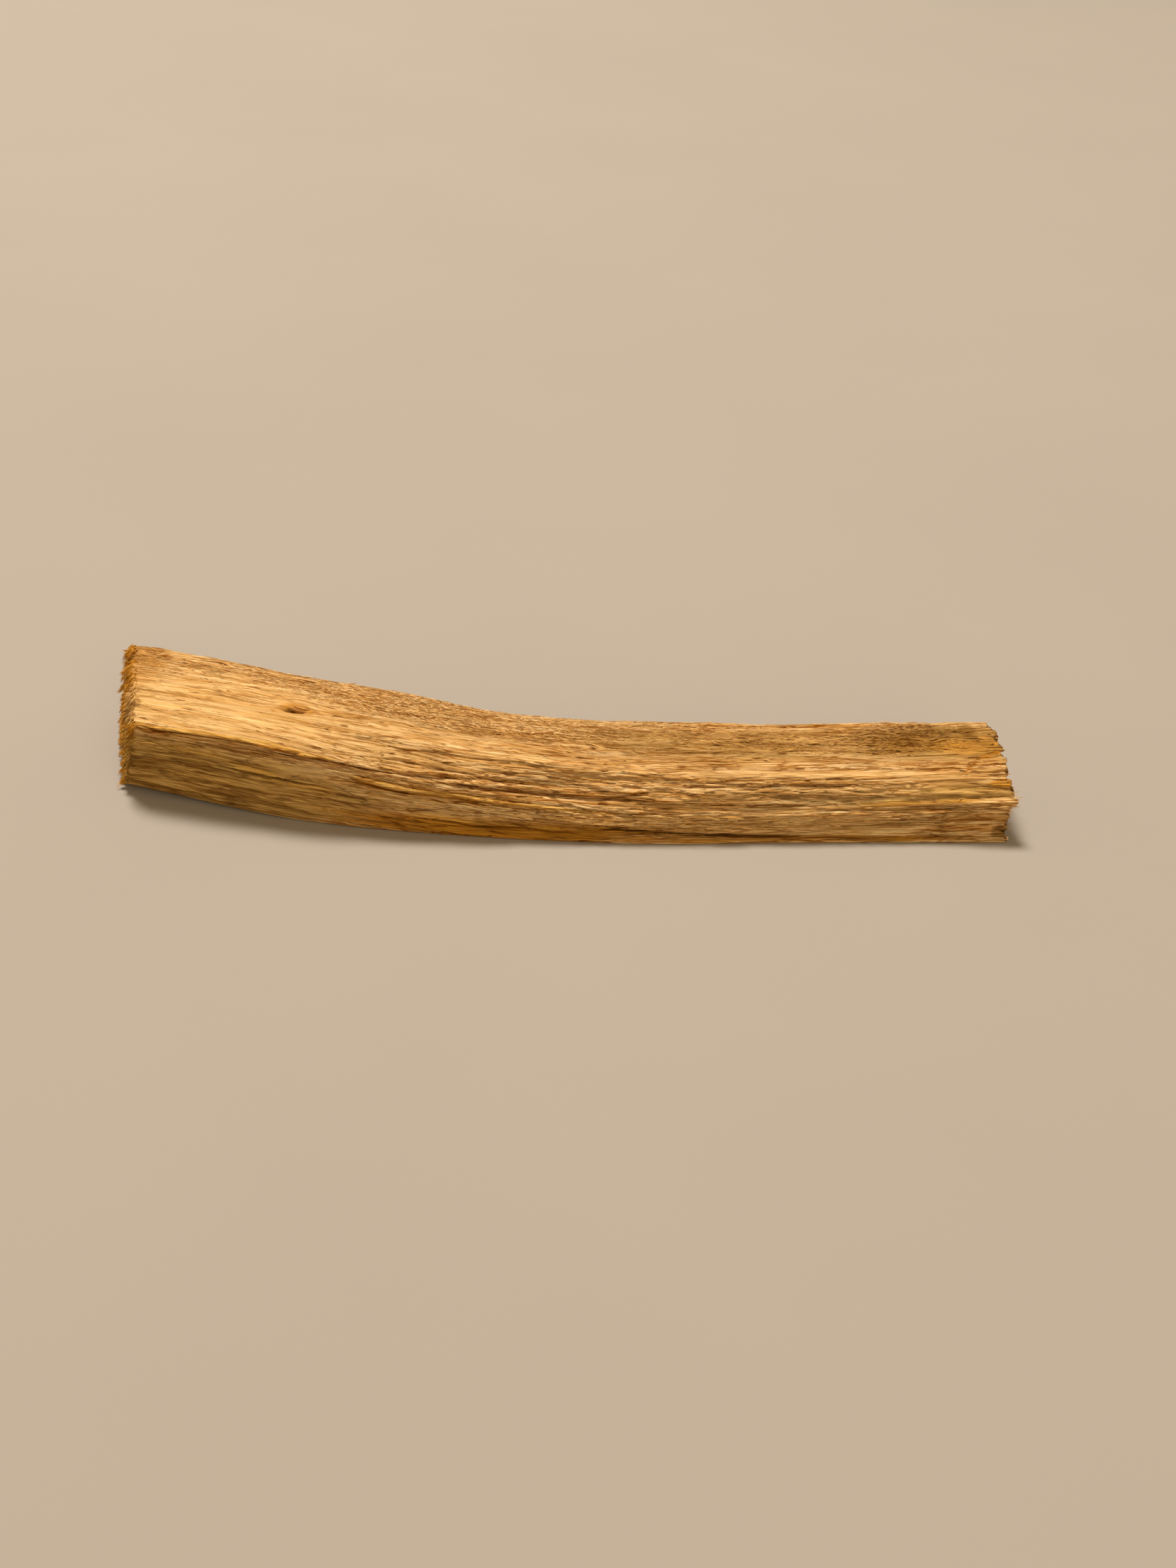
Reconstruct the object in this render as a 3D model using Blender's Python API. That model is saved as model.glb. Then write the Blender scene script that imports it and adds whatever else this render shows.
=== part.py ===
"""A bent, split stick of palo santo wood, lying on its flat underside.

The stick is one solid piece. Its form is a section drawn through seven edges that run along it.
X is along the stick, Y across it with the front at -Y, and Z up from what it rests on. Lengths
are in millimetres until the mesh is made. The section is roughened by grain, cracks, a torn ledge
and a knot. A slanting cut closes the left end, and a ragged break closes the right end.
"""

import math

import bmesh
import bpy
import numpy as np
from mathutils import Vector, noise

NAME = "palo_santo_stick"
MM = 0.001

# Edges that run along the stick, each through points of (along, across, up)
FRONT_EDGE = (
    (-47, -6.9, 1.0), (-38, -8.3, 0.5), (-28, -9.7, 0.1), (-18, -10.1, 0.0), (-8, -9.9, 0.0),
    (2, -9.3, 0.0), (13, -8.1, 0.0), (25, -6.0, 0.0), (37, -4.1, 0.0), (48, -2.4, 0.0),
)
BACK_EDGE = (
    (-47, 7.0, 1.0), (-38, 5.2, 0.5), (-28, 3.4, 0.1), (-18, 2.8, 0.0), (-8, 2.6, 0.0),
    (2, 2.9, 0.0), (13, 4.2, 0.0), (25, 6.1, 0.0), (37, 8.4, 0.0), (48, 9.6, 0.0),
)
BACK_BULGE = (
    (-47, 8.2, 5.6), (-28, 4.6, 5.2), (-8, 3.6, 4.6),
    (13, 5.3, 4.2), (30, 7.9, 4.1), (48, 10.4, 4.2),
)
BACK_RIDGE = (
    (-47, 7.6, 10.2), (-38, 5.7, 10.6), (-28, 3.9, 10.4), (-18, 3.2, 9.7), (-8, 2.8, 8.8),
    (2, 3.1, 8.3), (13, 4.5, 8.0), (25, 6.5, 7.8), (37, 8.9, 7.8), (48, 10.1, 8.3),
)
CROWN = (
    (-47, -1.8, 9.7), (-38, -3.6, 10.0), (-28, -5.0, 9.8), (-18, -5.7, 8.9), (-8, -6.0, 8.0),
    (2, -5.4, 7.3), (13, -4.1, 6.8), (25, -2.2, 6.5), (37, -0.4, 6.6), (48, 1.3, 7.1),
)
UPPER_RIDGE = (
    (-47, -7.0, 8.7), (-38, -8.3, 9.1), (-28, -9.2, 8.6), (-18, -9.4, 7.2), (-8, -8.4, 6.1),
    (2, -6.9, 5.3), (13, -5.7, 5.1), (25, -3.7, 4.9), (37, -1.9, 4.9), (48, -0.4, 5.5),
)
LOWER_RIDGE = (
    (-47, -7.0, 7.7), (-38, -8.4, 7.8), (-28, -9.8, 7.2), (-18, -9.9, 5.8), (-8, -9.4, 4.4),
    (2, -8.5, 3.4), (13, -7.2, 3.2), (25, -5.1, 3.2), (37, -3.2, 3.4), (48, -1.4, 4.2),
)
EDGES = (FRONT_EDGE, BACK_EDGE, BACK_BULGE, BACK_RIDGE, CROWN, UPPER_RIDGE, LOWER_RIDGE)

# Where each edge lies, as a share of the way round the section, and how far its corner is rounded
EDGE_SHARES = (0.0, 0.26, 0.37, 0.48, 0.68, 0.78, 0.85, 1.0)
EDGE_ROUNDING = 0.011
ROUNDING_SAMPLES = 5
OUTWARD_STEP = 0.004

# The slanting cut at the left end: its place at the upper front corner, and its two slopes
LEFT_CUT = -45.6
LEFT_CUT_CORNER = (-7.0, 8.8)
LEFT_CUT_BACKWARD = -0.26
LEFT_CUT_DOWNWARD = -0.2
LEFT_ROUGHNESS = 0.25
LEFT_GRAIN = 1.4

# The ragged break at the right end: its place at the lower front corner, its slope, how far it
# bulges midway, and the (across, up) place, reach and radius of its longest splinter
RIGHT_BREAK = 50.5
RIGHT_BREAK_CORNER = -2.0
RIGHT_BREAK_WIDTH = 12.0
RIGHT_BREAK_BACKWARD = -0.13
RIGHT_BREAK_BULGE = 0.3
RIGHT_ROUGHNESS = 0.35
RIGHT_GRAIN = 2.2
SPLINTER = (-0.5, 4.9)
SPLINTER_REACH = 0.6
SPLINTER_RADIUS = 1.0

# Swells and grain of the surface: depth, and spacing (along, across). Torn faces are rougher
SWELL_DEPTH = 0.3
SWELL_SPACING = (17, 3.2)
GRAIN_DEPTH = 0.22
GRAIN_SPACING = (9, 1.0)
TORN_SHARES = (0.68, 0.86)
TORN_GAIN = 0.8

# The rest face stays smooth, and the roughness grows to its full depth above it
SMOOTH_BELOW = 0.3
ROUGH_ABOVE = 1.5

# The pit of the knot, in the top face: its (along, across) place and its size
KNOT = (-28.4, -3.1)
KNOT_DEPTH = 0.8
KNOT_LENGTH = 1.7
KNOT_WIDTH = 0.9
TOP_FACE_ABOVE = 5

# Long cracks: the start and end, each (along, share of the way round), and the greatest depth
CRACKS = (
    ((-32, 0.790), (-10, 0.792), 0.6),
    ((-11, 0.796), (11, 0.805), 0.45),
    ((-14, 0.735), (-1, 0.775), 0.35),
    ((6, 0.928), (36, 0.975), 0.55),
    ((-40, 0.915), (-8, 0.900), 0.3),
    ((1, 0.580), (12, 0.588), 0.3),
    ((12, 0.745), (34, 0.720), 0.3),
    ((-30, 0.420), (25, 0.405), 0.4),
    ((-8, 0.320), (40, 0.335), 0.3),
)
CRACK_WIDTH = 0.008
CRACK_TAPER = 2
CRACK_WANDER = 0.003
CRACK_WAVE = 0.35

# Where in the noise each roughness is read, so that no two are alike
SWELL_SEED = 1.3
GRAIN_SEED = 2.6
LEFT_SEED = 3.7
RIGHT_SEED = 8.2
CRACK_SEED = 40

# Fineness of the mesh
AROUND = 84
BODY_RINGS = 50
CAP_SHARES = (0.95, 0.8, 0.62, 0.42, 0.22)
END_FITTING_ROUNDS = 3


def edge_curve(points, along):
    """The (across, up) place at each value of along, on the smooth curve through the points."""
    table = np.array(points, float)
    stations, places = table[:, 0], table[:, 1:]
    slopes = np.gradient(places, stations, axis=0)
    inside = np.clip(along, stations[0], stations[-1])
    left = np.clip(np.searchsorted(stations, inside) - 1, 0, len(stations) - 2)
    span = (stations[left + 1] - stations[left])[:, None]
    part = (inside - stations[left])[:, None] / span
    rise = places[left + 1] - places[left]
    bend_in = (slopes[left] * span - rise) * part * (1 - part) ** 2
    bend_out = (rise - slopes[left + 1] * span) * part ** 2 * (1 - part)
    beyond = (along - inside)[:, None]
    end_slope = np.where(beyond < 0, slopes[0], slopes[-1])
    return places[left] + rise * part + bend_in + bend_out + beyond * end_slope


def section_point(along, share):
    """The (across, up) place on the section at each along, a given share of the way round."""
    corners = np.stack([edge_curve(points, along) for points in EDGES])
    shares = np.array(EDGE_SHARES)
    total = np.zeros((len(along), 2))
    for offset in np.linspace(-EDGE_ROUNDING, EDGE_ROUNDING, ROUNDING_SAMPLES):
        turned = (share + offset) % 1.0
        side = np.clip(np.searchsorted(shares, turned, side="right") - 1, 0, len(EDGES) - 1)
        part = ((turned - shares[side]) / (shares[side + 1] - shares[side]))[:, None]
        index = np.arange(len(along))
        total += corners[side, index] * (1 - part) + corners[(side + 1) % len(EDGES), index] * part
    return total / ROUNDING_SAMPLES


def section_outward(along, share):
    """The direction out of the section at each point."""
    ahead = section_point(along, share + OUTWARD_STEP)
    across = ahead - section_point(along, share - OUTWARD_STEP)
    outward = np.stack([across[:, 1], -across[:, 0]], axis=1)
    return outward / np.linalg.norm(outward, axis=1)[:, None]


def smooth_noise(along, across, up, spacing, seed):
    """Noise between about -1 and 1, with its own spacing along the stick and across it."""
    points = np.stack([along / spacing[0] + seed, across / spacing[1], up / spacing[1]], axis=1)
    return np.array([noise.noise(Vector(point)) for point in points])


def end_noise(across, up, spacing, seed):
    """The roughness of an end face, which is the same however far along it is read."""
    return smooth_noise(np.zeros_like(up), across, up, (1, spacing), seed)


def left_end(across, up):
    """Where along the stick the slanting cut lies, at each (across, up)."""
    behind = across - LEFT_CUT_CORNER[0]
    below = LEFT_CUT_CORNER[1] - up
    rough = end_noise(across, up, LEFT_GRAIN, LEFT_SEED) * LEFT_ROUGHNESS
    return LEFT_CUT + behind * LEFT_CUT_BACKWARD + below * LEFT_CUT_DOWNWARD + rough


def right_end(across, up):
    """Where along the stick the ragged break lies, at each (across, up)."""
    behind = across - RIGHT_BREAK_CORNER
    rough = end_noise(across, up, RIGHT_GRAIN, RIGHT_SEED) * RIGHT_ROUGHNESS
    rough += end_noise(across, up, RIGHT_GRAIN / 2, RIGHT_SEED) * RIGHT_ROUGHNESS / 2
    bulge = RIGHT_BREAK_BULGE * np.sin(math.pi * np.clip(behind / RIGHT_BREAK_WIDTH, 0, 1))
    away = ((across - SPLINTER[0]) ** 2 + (up - SPLINTER[1]) ** 2) / SPLINTER_RADIUS ** 2
    splinter = SPLINTER_REACH * np.exp(-away)
    return RIGHT_BREAK + behind * RIGHT_BREAK_BACKWARD + rough + bulge + splinter


def crack_depth(along, share):
    """How deep the long cracks cut at each point."""
    depth = np.zeros_like(along)
    for (start, first_share), (end, last_share), deepest in CRACKS:
        part = (along - start) / (end - start)
        place = first_share + (last_share - first_share) * part
        wander = CRACK_WANDER * np.sin(along * CRACK_WAVE + first_share * CRACK_SEED)
        beside = np.abs(share - place - wander) / CRACK_WIDTH
        ahead = np.clip((along - start) * (1 - part) / CRACK_TAPER, 0, 1)
        depth += deepest * ahead * np.clip(1 - beside, 0, 1)
    return depth


def knot_depth(along, across, up):
    """How deep the knot's pit is at each point."""
    spread = ((along - KNOT[0]) / KNOT_LENGTH) ** 2 + ((across - KNOT[1]) / KNOT_WIDTH) ** 2
    return KNOT_DEPTH * np.exp(-2 * spread) * (up > TOP_FACE_ABOVE)


def relief(along, across, up, share):
    """How far out or in the worn surface lies at each point."""
    swell = smooth_noise(along, across, up, SWELL_SPACING, SWELL_SEED) * SWELL_DEPTH
    grain = smooth_noise(along, across, up, GRAIN_SPACING, GRAIN_SEED) * GRAIN_DEPTH
    torn = 1 + TORN_GAIN * ((share > TORN_SHARES[0]) & (share < TORN_SHARES[1]))
    return swell + grain * torn - crack_depth(along, share) - knot_depth(along, across, up)


def skin_points(along_share, share):
    """The surface between the two ends, at shares of the length and of the way round."""
    along = LEFT_CUT + (RIGHT_BREAK - LEFT_CUT) * along_share
    for _ in range(END_FITTING_ROUNDS):
        across, up = section_point(along, share).T
        along = left_end(across, up) * (1 - along_share) + right_end(across, up) * along_share
    outward = section_outward(along, share)
    roughened = np.clip((up - SMOOTH_BELOW) / (ROUGH_ABOVE - SMOOTH_BELOW), 0, 1)
    height = relief(along, across, up, share) * roughened
    across = across + outward[:, 0] * height
    up = np.maximum(up + outward[:, 1] * height, 0)
    return np.stack([along, across, up], axis=1)


def cap_points(rim, share, shrink, end):
    """A ring of an end face: the section drawn in towards its middle, on the end's own surface."""
    plain = section_point(rim[:, 0], share)
    middle = plain.mean(axis=0)
    across, up = (middle + (plain - middle) * shrink).T
    return np.stack([end(across, up), across, up], axis=1)


def stick_rings():
    """All the rings of points from the right end to the left, the poles left out."""
    share = np.arange(AROUND) / AROUND
    body = [skin_points(np.full(AROUND, s), share) for s in np.linspace(1, 0, BODY_RINGS)]
    right = [cap_points(body[0], share, s, right_end) for s in reversed(CAP_SHARES)]
    left = [cap_points(body[-1], share, s, left_end) for s in CAP_SHARES]
    return right + body + left


def pole_point(ring, end):
    """The middle point of an end face."""
    across, up = ring[:, 1:].mean(axis=0)
    along = end(np.array([across]), np.array([up]))[0]
    return Vector((along, across, up)) * MM


def stick_mesh():
    """A ball of rings drawn out along X into the stick's form."""
    rings = stick_rings()
    body = bmesh.new()
    bmesh.ops.create_uvsphere(body, u_segments=AROUND, v_segments=len(rings) + 1, radius=1)
    for vert in body.verts:
        height = np.clip(vert.co.z, -1, 1)
        row = round(math.acos(height) / math.pi * (len(rings) + 1)) - 1
        if row < 0:
            vert.co = pole_point(rings[0], right_end)
        elif row == len(rings):
            vert.co = pole_point(rings[-1], left_end)
        else:
            column = round(math.atan2(vert.co.y, vert.co.x) / math.tau * AROUND) % AROUND
            vert.co = Vector(rings[row][column]) * MM
    body.normal_update()
    bmesh.ops.recalc_face_normals(body, faces=body.faces)
    bmesh.ops.triangulate(body, faces=body.faces)
    mesh = bpy.data.meshes.new(NAME)
    body.to_mesh(mesh)
    body.free()
    return mesh


def wood_material():
    """Pale, dry, matt wood."""
    material = bpy.data.materials.new("palo_santo_wood")
    material.use_nodes = True
    shader = material.node_tree.nodes["Principled BSDF"]
    shader.inputs["Base Color"].default_value = (0.55, 0.31, 0.12, 1)
    shader.inputs["Roughness"].default_value = 0.8
    shader.inputs["Metallic"].default_value = 0
    return material


def main():
    """Clears the scene and makes the stick."""
    for old in list(bpy.data.objects):
        bpy.data.objects.remove(old)
    stick = bpy.data.objects.new(NAME, stick_mesh())
    stick.data.materials.append(wood_material())
    bpy.context.scene.collection.objects.link(stick)


main()
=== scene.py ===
"""The looks of a palo santo stick: a bent, split stick of dry, fibrous wood.

The skin repeats the form of the frame's solid and adds its splits, torn ledge, woolly patches
and knot. Fibres, slivers and splinters grow from it, and a brush of cut fibres closes the left
end. Lengths are in millimetres until a mesh is made. X is along the stick, Y across it with the
front at -Y, and Z up. A share says how far round the section a place is, from the lower front
edge under the stick and over its top.
"""

import logging
import math
from collections.abc import Iterable
from dataclasses import dataclass
from enum import Enum
from functools import reduce

import bmesh
import bpy
import numpy as np
from bpy.types import Material, Mesh, Node, NodeSocket as Socket, NodeTree, Object
from mathutils import Matrix, Vector, noise


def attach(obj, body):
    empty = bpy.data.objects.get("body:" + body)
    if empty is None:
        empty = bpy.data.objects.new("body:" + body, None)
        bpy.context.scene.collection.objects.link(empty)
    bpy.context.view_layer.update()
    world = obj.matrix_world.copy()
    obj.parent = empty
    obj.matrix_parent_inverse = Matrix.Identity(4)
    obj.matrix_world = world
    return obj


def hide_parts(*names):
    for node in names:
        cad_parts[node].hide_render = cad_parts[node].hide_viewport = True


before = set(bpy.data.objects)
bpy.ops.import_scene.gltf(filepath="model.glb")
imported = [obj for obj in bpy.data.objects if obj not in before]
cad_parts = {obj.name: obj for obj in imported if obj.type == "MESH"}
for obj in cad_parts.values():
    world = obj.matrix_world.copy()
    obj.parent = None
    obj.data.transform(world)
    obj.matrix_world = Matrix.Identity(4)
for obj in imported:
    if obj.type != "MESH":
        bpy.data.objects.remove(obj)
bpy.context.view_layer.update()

Array = np.ndarray
Pair = tuple[float, float]
Points = tuple[tuple[float, ...], ...]
Colour = tuple[float, float, float]
# What feeds a node's input: another node's output, or a plain value
Source = object

MM = 0.001
TINY = 1e-9
STICK_NODE = "palo_santo_stick"
BODY = "root"

# How a cell's place in its grid is turned into three numbers of its own
HASH_TURNS = np.array([(12.9898, 78.233, 37.719), (39.346, 11.135, 83.155), (73.156, 52.235, 9.151)])
HASH_SPREAD = 43758.5453

# The value about which a noise texture varies
NOISE_MIDDLE = 0.5

log = logging.getLogger("palo_santo_stick")


class Breakage(Enum):
    """The ways in which the split surface is broken up."""

    WOOLLY = "woolly"
    TORN = "torn"
    SMOOTH = "smooth"
    CREASED = "creased"


class Tone(Enum):
    """The colours that lie over the plain wood. Some also carry painted highlight or shade, as their
    names say.
    """

    GOLDEN = "golden"
    MUSTARD_AND_HIGHLIGHT = "mustard_and_highlight"
    WEATHERED_AND_SHADE = "weathered_and_shade"
    AMBER = "amber"
    STAINED_AND_SHADE = "stained_and_shade"
    UMBER_AND_SHADE = "umber"


class CrackStyle(Enum):
    """A split is cut evenly on both sides. A ledge stands over the wood that was torn from it."""

    SPLIT = "split"
    LEDGE = "ledge"


def grain_noise(points: Array, spacing: Pair, seed: float) -> Array:
    """Reads noise that is stretched along the grain.

    Args:
        points: Places in millimetres, one (along, across, up) row each.
        spacing: The size of the noise along the stick and across it.
        seed: Where in the noise it is read.

    Returns:
        A value between about -1 and 1 for each place.
    """
    scaled = points / (spacing[0], spacing[1], spacing[1]) + (seed, 0, 0)
    return np.fromiter((noise.noise(place) for place in scaled.tolist()), float, len(scaled))


def scattered(cells: Array, seed: float) -> Array:
    """Gives each cell of a grid its own three numbers between 0 and 1."""
    turned = np.stack([cells @ HASH_TURNS[axis] for axis in range(3)], axis=1) + seed
    return np.modf(np.abs(np.sin(turned) * HASH_SPREAD))[0]


def smooth_step(value: Array, low: float, high: float) -> Array:
    """Rises smoothly from 0 at the low value to 1 at the high one."""
    part = np.clip((value - low) / (high - low), 0, 1)
    return part * part * (3 - 2 * part)


@dataclass(frozen=True)
class FibreCells:
    """The fibre at each place: how near its top, its own number, and the way from its middle."""

    edge: Array
    value: Array
    ahead: Array
    beside: Array


@dataclass(frozen=True)
class FibreLayer:
    """Fibres of one size, packed side by side, and how they raise the surface.

    They differ in height by the step, are rounded down to the gap at their edges, lean towards
    the front, and tilt up at one end.
    """

    spacing: Pair
    seed: float
    step: float = 0.0
    gap: float = 0.0
    lean: float = 0.0
    tilt: float = 0.0
    level: float = 0.3
    rounding: float = 0.6

    def cells(self, points: Array) -> FibreCells:
        """Divides the wood into long fibres that lie closely side by side.

        Args:
            points: Places in millimetres, one (along, across, up) row each.

        Returns:
            For each place, how high it is on its rounded fibre (0 at the edge and 1 on top), the
            fibre's own number between 0 and 1, and how far the place is along the fibre and
            towards its front, from its middle.
        """
        scaled = points / (self.spacing[0], self.spacing[1], self.spacing[1])
        home = np.floor(scaled)
        nearest = np.full(len(points), np.inf)
        second = nearest.copy()
        value, ahead, beside = np.zeros((3, len(points)))
        for offset in np.ndindex(3, 3, 3):
            cell = home + offset - 1
            numbers = scattered(cell, self.seed)
            away = scaled - cell - numbers
            distance = np.linalg.norm(away, axis=1)
            closer = distance < nearest
            second = np.where(closer, nearest, np.minimum(second, distance))
            nearest = np.where(closer, distance, nearest)
            value = np.where(closer, numbers[:, 0], value)
            ahead = np.where(closer, away[:, 0], ahead)
            beside = np.where(closer, -away[:, 1] - away[:, 2], beside)
        edge = np.sqrt(np.clip((second - nearest) / self.rounding, 0, 1))
        return FibreCells(edge, value, ahead, beside)

    def rise(self, cells: FibreCells) -> Array:
        """Finds how far the fibres raise the surface where they were divided."""
        across = self.step * (cells.value - 0.5) - self.gap * (1 - cells.edge) + self.lean * cells.beside
        return across + self.tilt * cells.ahead * (cells.value - self.level)


@dataclass(frozen=True)
class Waviness:
    """How the grain wanders sideways: how far, over what length, and how it slants.

    Each wave has a part of the way it strays, a part of the length, and a width.
    """

    stray: float
    length: float
    slant: float = 0.0
    seeds: Pair = (5.9, 8.1)
    waves: Points = ((1.0, 1.0, 2.5), (0.35, 0.3, 1.2))

    def bend(self, unbent: Array) -> Array:
        """Lets the grain wander sideways a little as it runs along.

        Args:
            unbent: Places in the straight grain, one (along, across, up) row each.

        Returns:
            The places in the wandering grain.
        """
        waved = unbent.copy()
        for axis, seed in enumerate(self.seeds, start=1):
            for order, (part, shorter, width) in enumerate(self.waves):
                wave = grain_noise(unbent, (self.length * shorter, width), seed + order)
                waved[:, axis] += self.stray * part * wave
        waved[:, 1] += self.slant * unbent[:, 0]
        return waved


# Where along the stick its edges are given
STATIONS = (-47, -38, -28, -18, -8, 2, 13, 25, 37, 48)


@dataclass(frozen=True)
class LongEdge:
    """An edge that runs along the stick, through an (across, up) place at each station."""

    places: Points
    stations: tuple[float, ...] = STATIONS

    def place(self, along: Array) -> Array:
        """Reads the smooth curve through the places.

        Args:
            along: Distances along the stick.

        Returns:
            The (across, up) place at each distance.
        """
        stations, places = np.array(self.stations, float), np.array(self.places, float)
        slopes = np.gradient(places, stations, axis=0)
        inside = np.clip(along, stations[0], stations[-1])
        left = np.clip(np.searchsorted(stations, inside) - 1, 0, len(stations) - 2)
        span = (stations[left + 1] - stations[left])[:, None]
        part = (inside - stations[left])[:, None] / span
        rise = places[left + 1] - places[left]
        bend_in = (slopes[left] * span - rise) * part * (1 - part) ** 2
        bend_out = (rise - slopes[left + 1] * span) * part ** 2 * (1 - part)
        beyond = (along - inside)[:, None]
        end_slope = np.where(beyond < 0, slopes[0], slopes[-1])
        return places[left] + rise * part + bend_in + bend_out + beyond * end_slope


@dataclass(frozen=True)
class SawCut:
    """The slanting cut at the left end, and how rough it is."""

    along: float = -45.1
    corner: Pair = (-6.9, 8.9)
    backward: float = -0.26
    downward: float = -0.15
    roughness: float = 0.3
    spacing: float = 0.9
    seed: float = 3.7

    def reach(self, across: Array, up: Array) -> Array:
        """Finds where along the stick the cut lies.

        Args:
            across: Distances across the stick.
            up: Heights over what it rests on.

        Returns:
            The place along the stick for each of them.
        """
        places = np.stack([np.zeros_like(up), across, up], axis=1)
        rough = grain_noise(places, (1, self.spacing), self.seed) * self.roughness
        plane = self.along + (across - self.corner[0]) * self.backward
        return plane + (self.corner[1] - up) * self.downward + rough


@dataclass(frozen=True)
class RaggedBreak:
    """The break at the right end: its slope, its bulge, its bundles and its longest splinter."""

    along: float = 50.3
    corner: float = -2.0
    width: float = 12.0
    backward: float = -0.13
    bulge: float = 0.3
    roughness: float = 0.35
    spacing: float = 2.2
    seed: float = 8.2
    bundles: FibreLayer = FibreLayer((1, 0.75), 8.2)
    bundle_depth: float = 0.75
    bundle_rounding: float = 0.35
    back_corner: float = 8.6
    back_rounding: float = 0.2
    splinter: Pair = (-0.5, 4.9)
    splinter_reach: float = 0.6
    splinter_radius: float = 1.0

    def reach(self, across: Array, up: Array) -> Array:
        """Finds where along the stick the break lies.

        Args:
            across: Distances across the stick.
            up: Heights over what it rests on.

        Returns:
            The place along the stick for each of them.
        """
        places = np.stack([np.zeros_like(up), across, up], axis=1)
        rough = np.zeros(len(places))
        for finer in (1, 2):
            rough += grain_noise(places, (1, self.spacing / finer), self.seed) * self.roughness / finer
        bundles = self.bundles.cells(places)
        rough += (bundles.value - 0.5 + self.bundle_rounding * bundles.edge) * self.bundle_depth
        rough -= self.back_rounding * np.maximum(across - self.back_corner, 0) ** 2
        behind = across - self.corner
        bulge = self.bulge * np.sin(math.pi * np.clip(behind / self.width, 0, 1))
        away = (across - self.splinter[0]) ** 2 + (up - self.splinter[1]) ** 2
        splinter = self.splinter_reach * np.exp(-away / self.splinter_radius ** 2)
        return self.along + behind * self.backward + rough + bulge + splinter


@dataclass(frozen=True)
class StickForm:
    """The form that the split stick has without its roughness."""

    edges: tuple[LongEdge, ...]
    shares: tuple[float, ...]
    left: SawCut = SawCut()
    right: RaggedBreak = RaggedBreak()
    rounding: float = 0.007
    rounding_samples: int = 5
    outward_step: float = 0.004
    fitting_rounds: int = 3
    middle_samples: int = 200

    def section(self, along: Array, share: Array) -> Array:
        """Finds places on the section.

        Args:
            along: Distances along the stick.
            share: How far round the section each place is.

        Returns:
            The (across, up) place of each.
        """
        corners = np.stack([edge.place(along) for edge in self.edges])
        shares = np.array(self.shares)
        count = len(self.edges)
        index = np.arange(len(along))
        total = np.zeros((len(along), 2))
        for offset in np.linspace(-self.rounding, self.rounding, self.rounding_samples):
            turned = (share + offset) % 1.0
            side = np.clip(np.searchsorted(shares, turned, side="right") - 1, 0, count - 1)
            part = ((turned - shares[side]) / (shares[side + 1] - shares[side]))[:, None]
            total += corners[side, index] * (1 - part) + corners[(side + 1) % count, index] * part
        return total / self.rounding_samples

    def outward(self, along: Array, share: Array) -> Array:
        """Finds the direction out of the section.

        Args:
            along: Distances along the stick.
            share: How far round the section each place is.

        Returns:
            The (across, up) direction at each place, one long.
        """
        ahead = self.section(along, share + self.outward_step)
        step = ahead - self.section(along, share - self.outward_step)
        outward = np.stack([step[:, 1], -step[:, 0]], axis=1)
        return outward / np.linalg.norm(outward, axis=1)[:, None]

    def unbent(self, along: Array, place: Array) -> Array:
        """Takes the stick's bend out of (across, up) places, so that the grain follows it."""
        middle = np.mean([edge.place(along) for edge in self.edges], axis=0)
        return np.column_stack([along, place - middle])

    def end_along(self, end: SawCut | RaggedBreak, share: Array) -> Array:
        """Finds where along the stick the surface meets an end face.

        Args:
            end: The cut or the break.
            share: How far round the section each place is.

        Returns:
            The distance along the stick at each share.
        """
        along = np.full(len(share), end.along)
        for _ in range(self.fitting_rounds):
            along = end.reach(*self.section(along, share).T)
        return along

    def on_end(self, end: SawCut | RaggedBreak, share: Array, outness: Array) -> Array:
        """Finds places on an end face.

        Args:
            end: The cut or the break.
            share: How far round the face each place is.
            outness: How far out each is, from 0 in the face's middle to 1 at its rim.

        Returns:
            The (across, up) place of each.
        """
        rim = self.section(self.end_along(end, share), share)
        around = np.arange(self.middle_samples) / self.middle_samples
        middle = self.section(np.full(self.middle_samples, end.along), around).mean(axis=0)
        return middle + (rim - middle) * outness[:, None]


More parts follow.
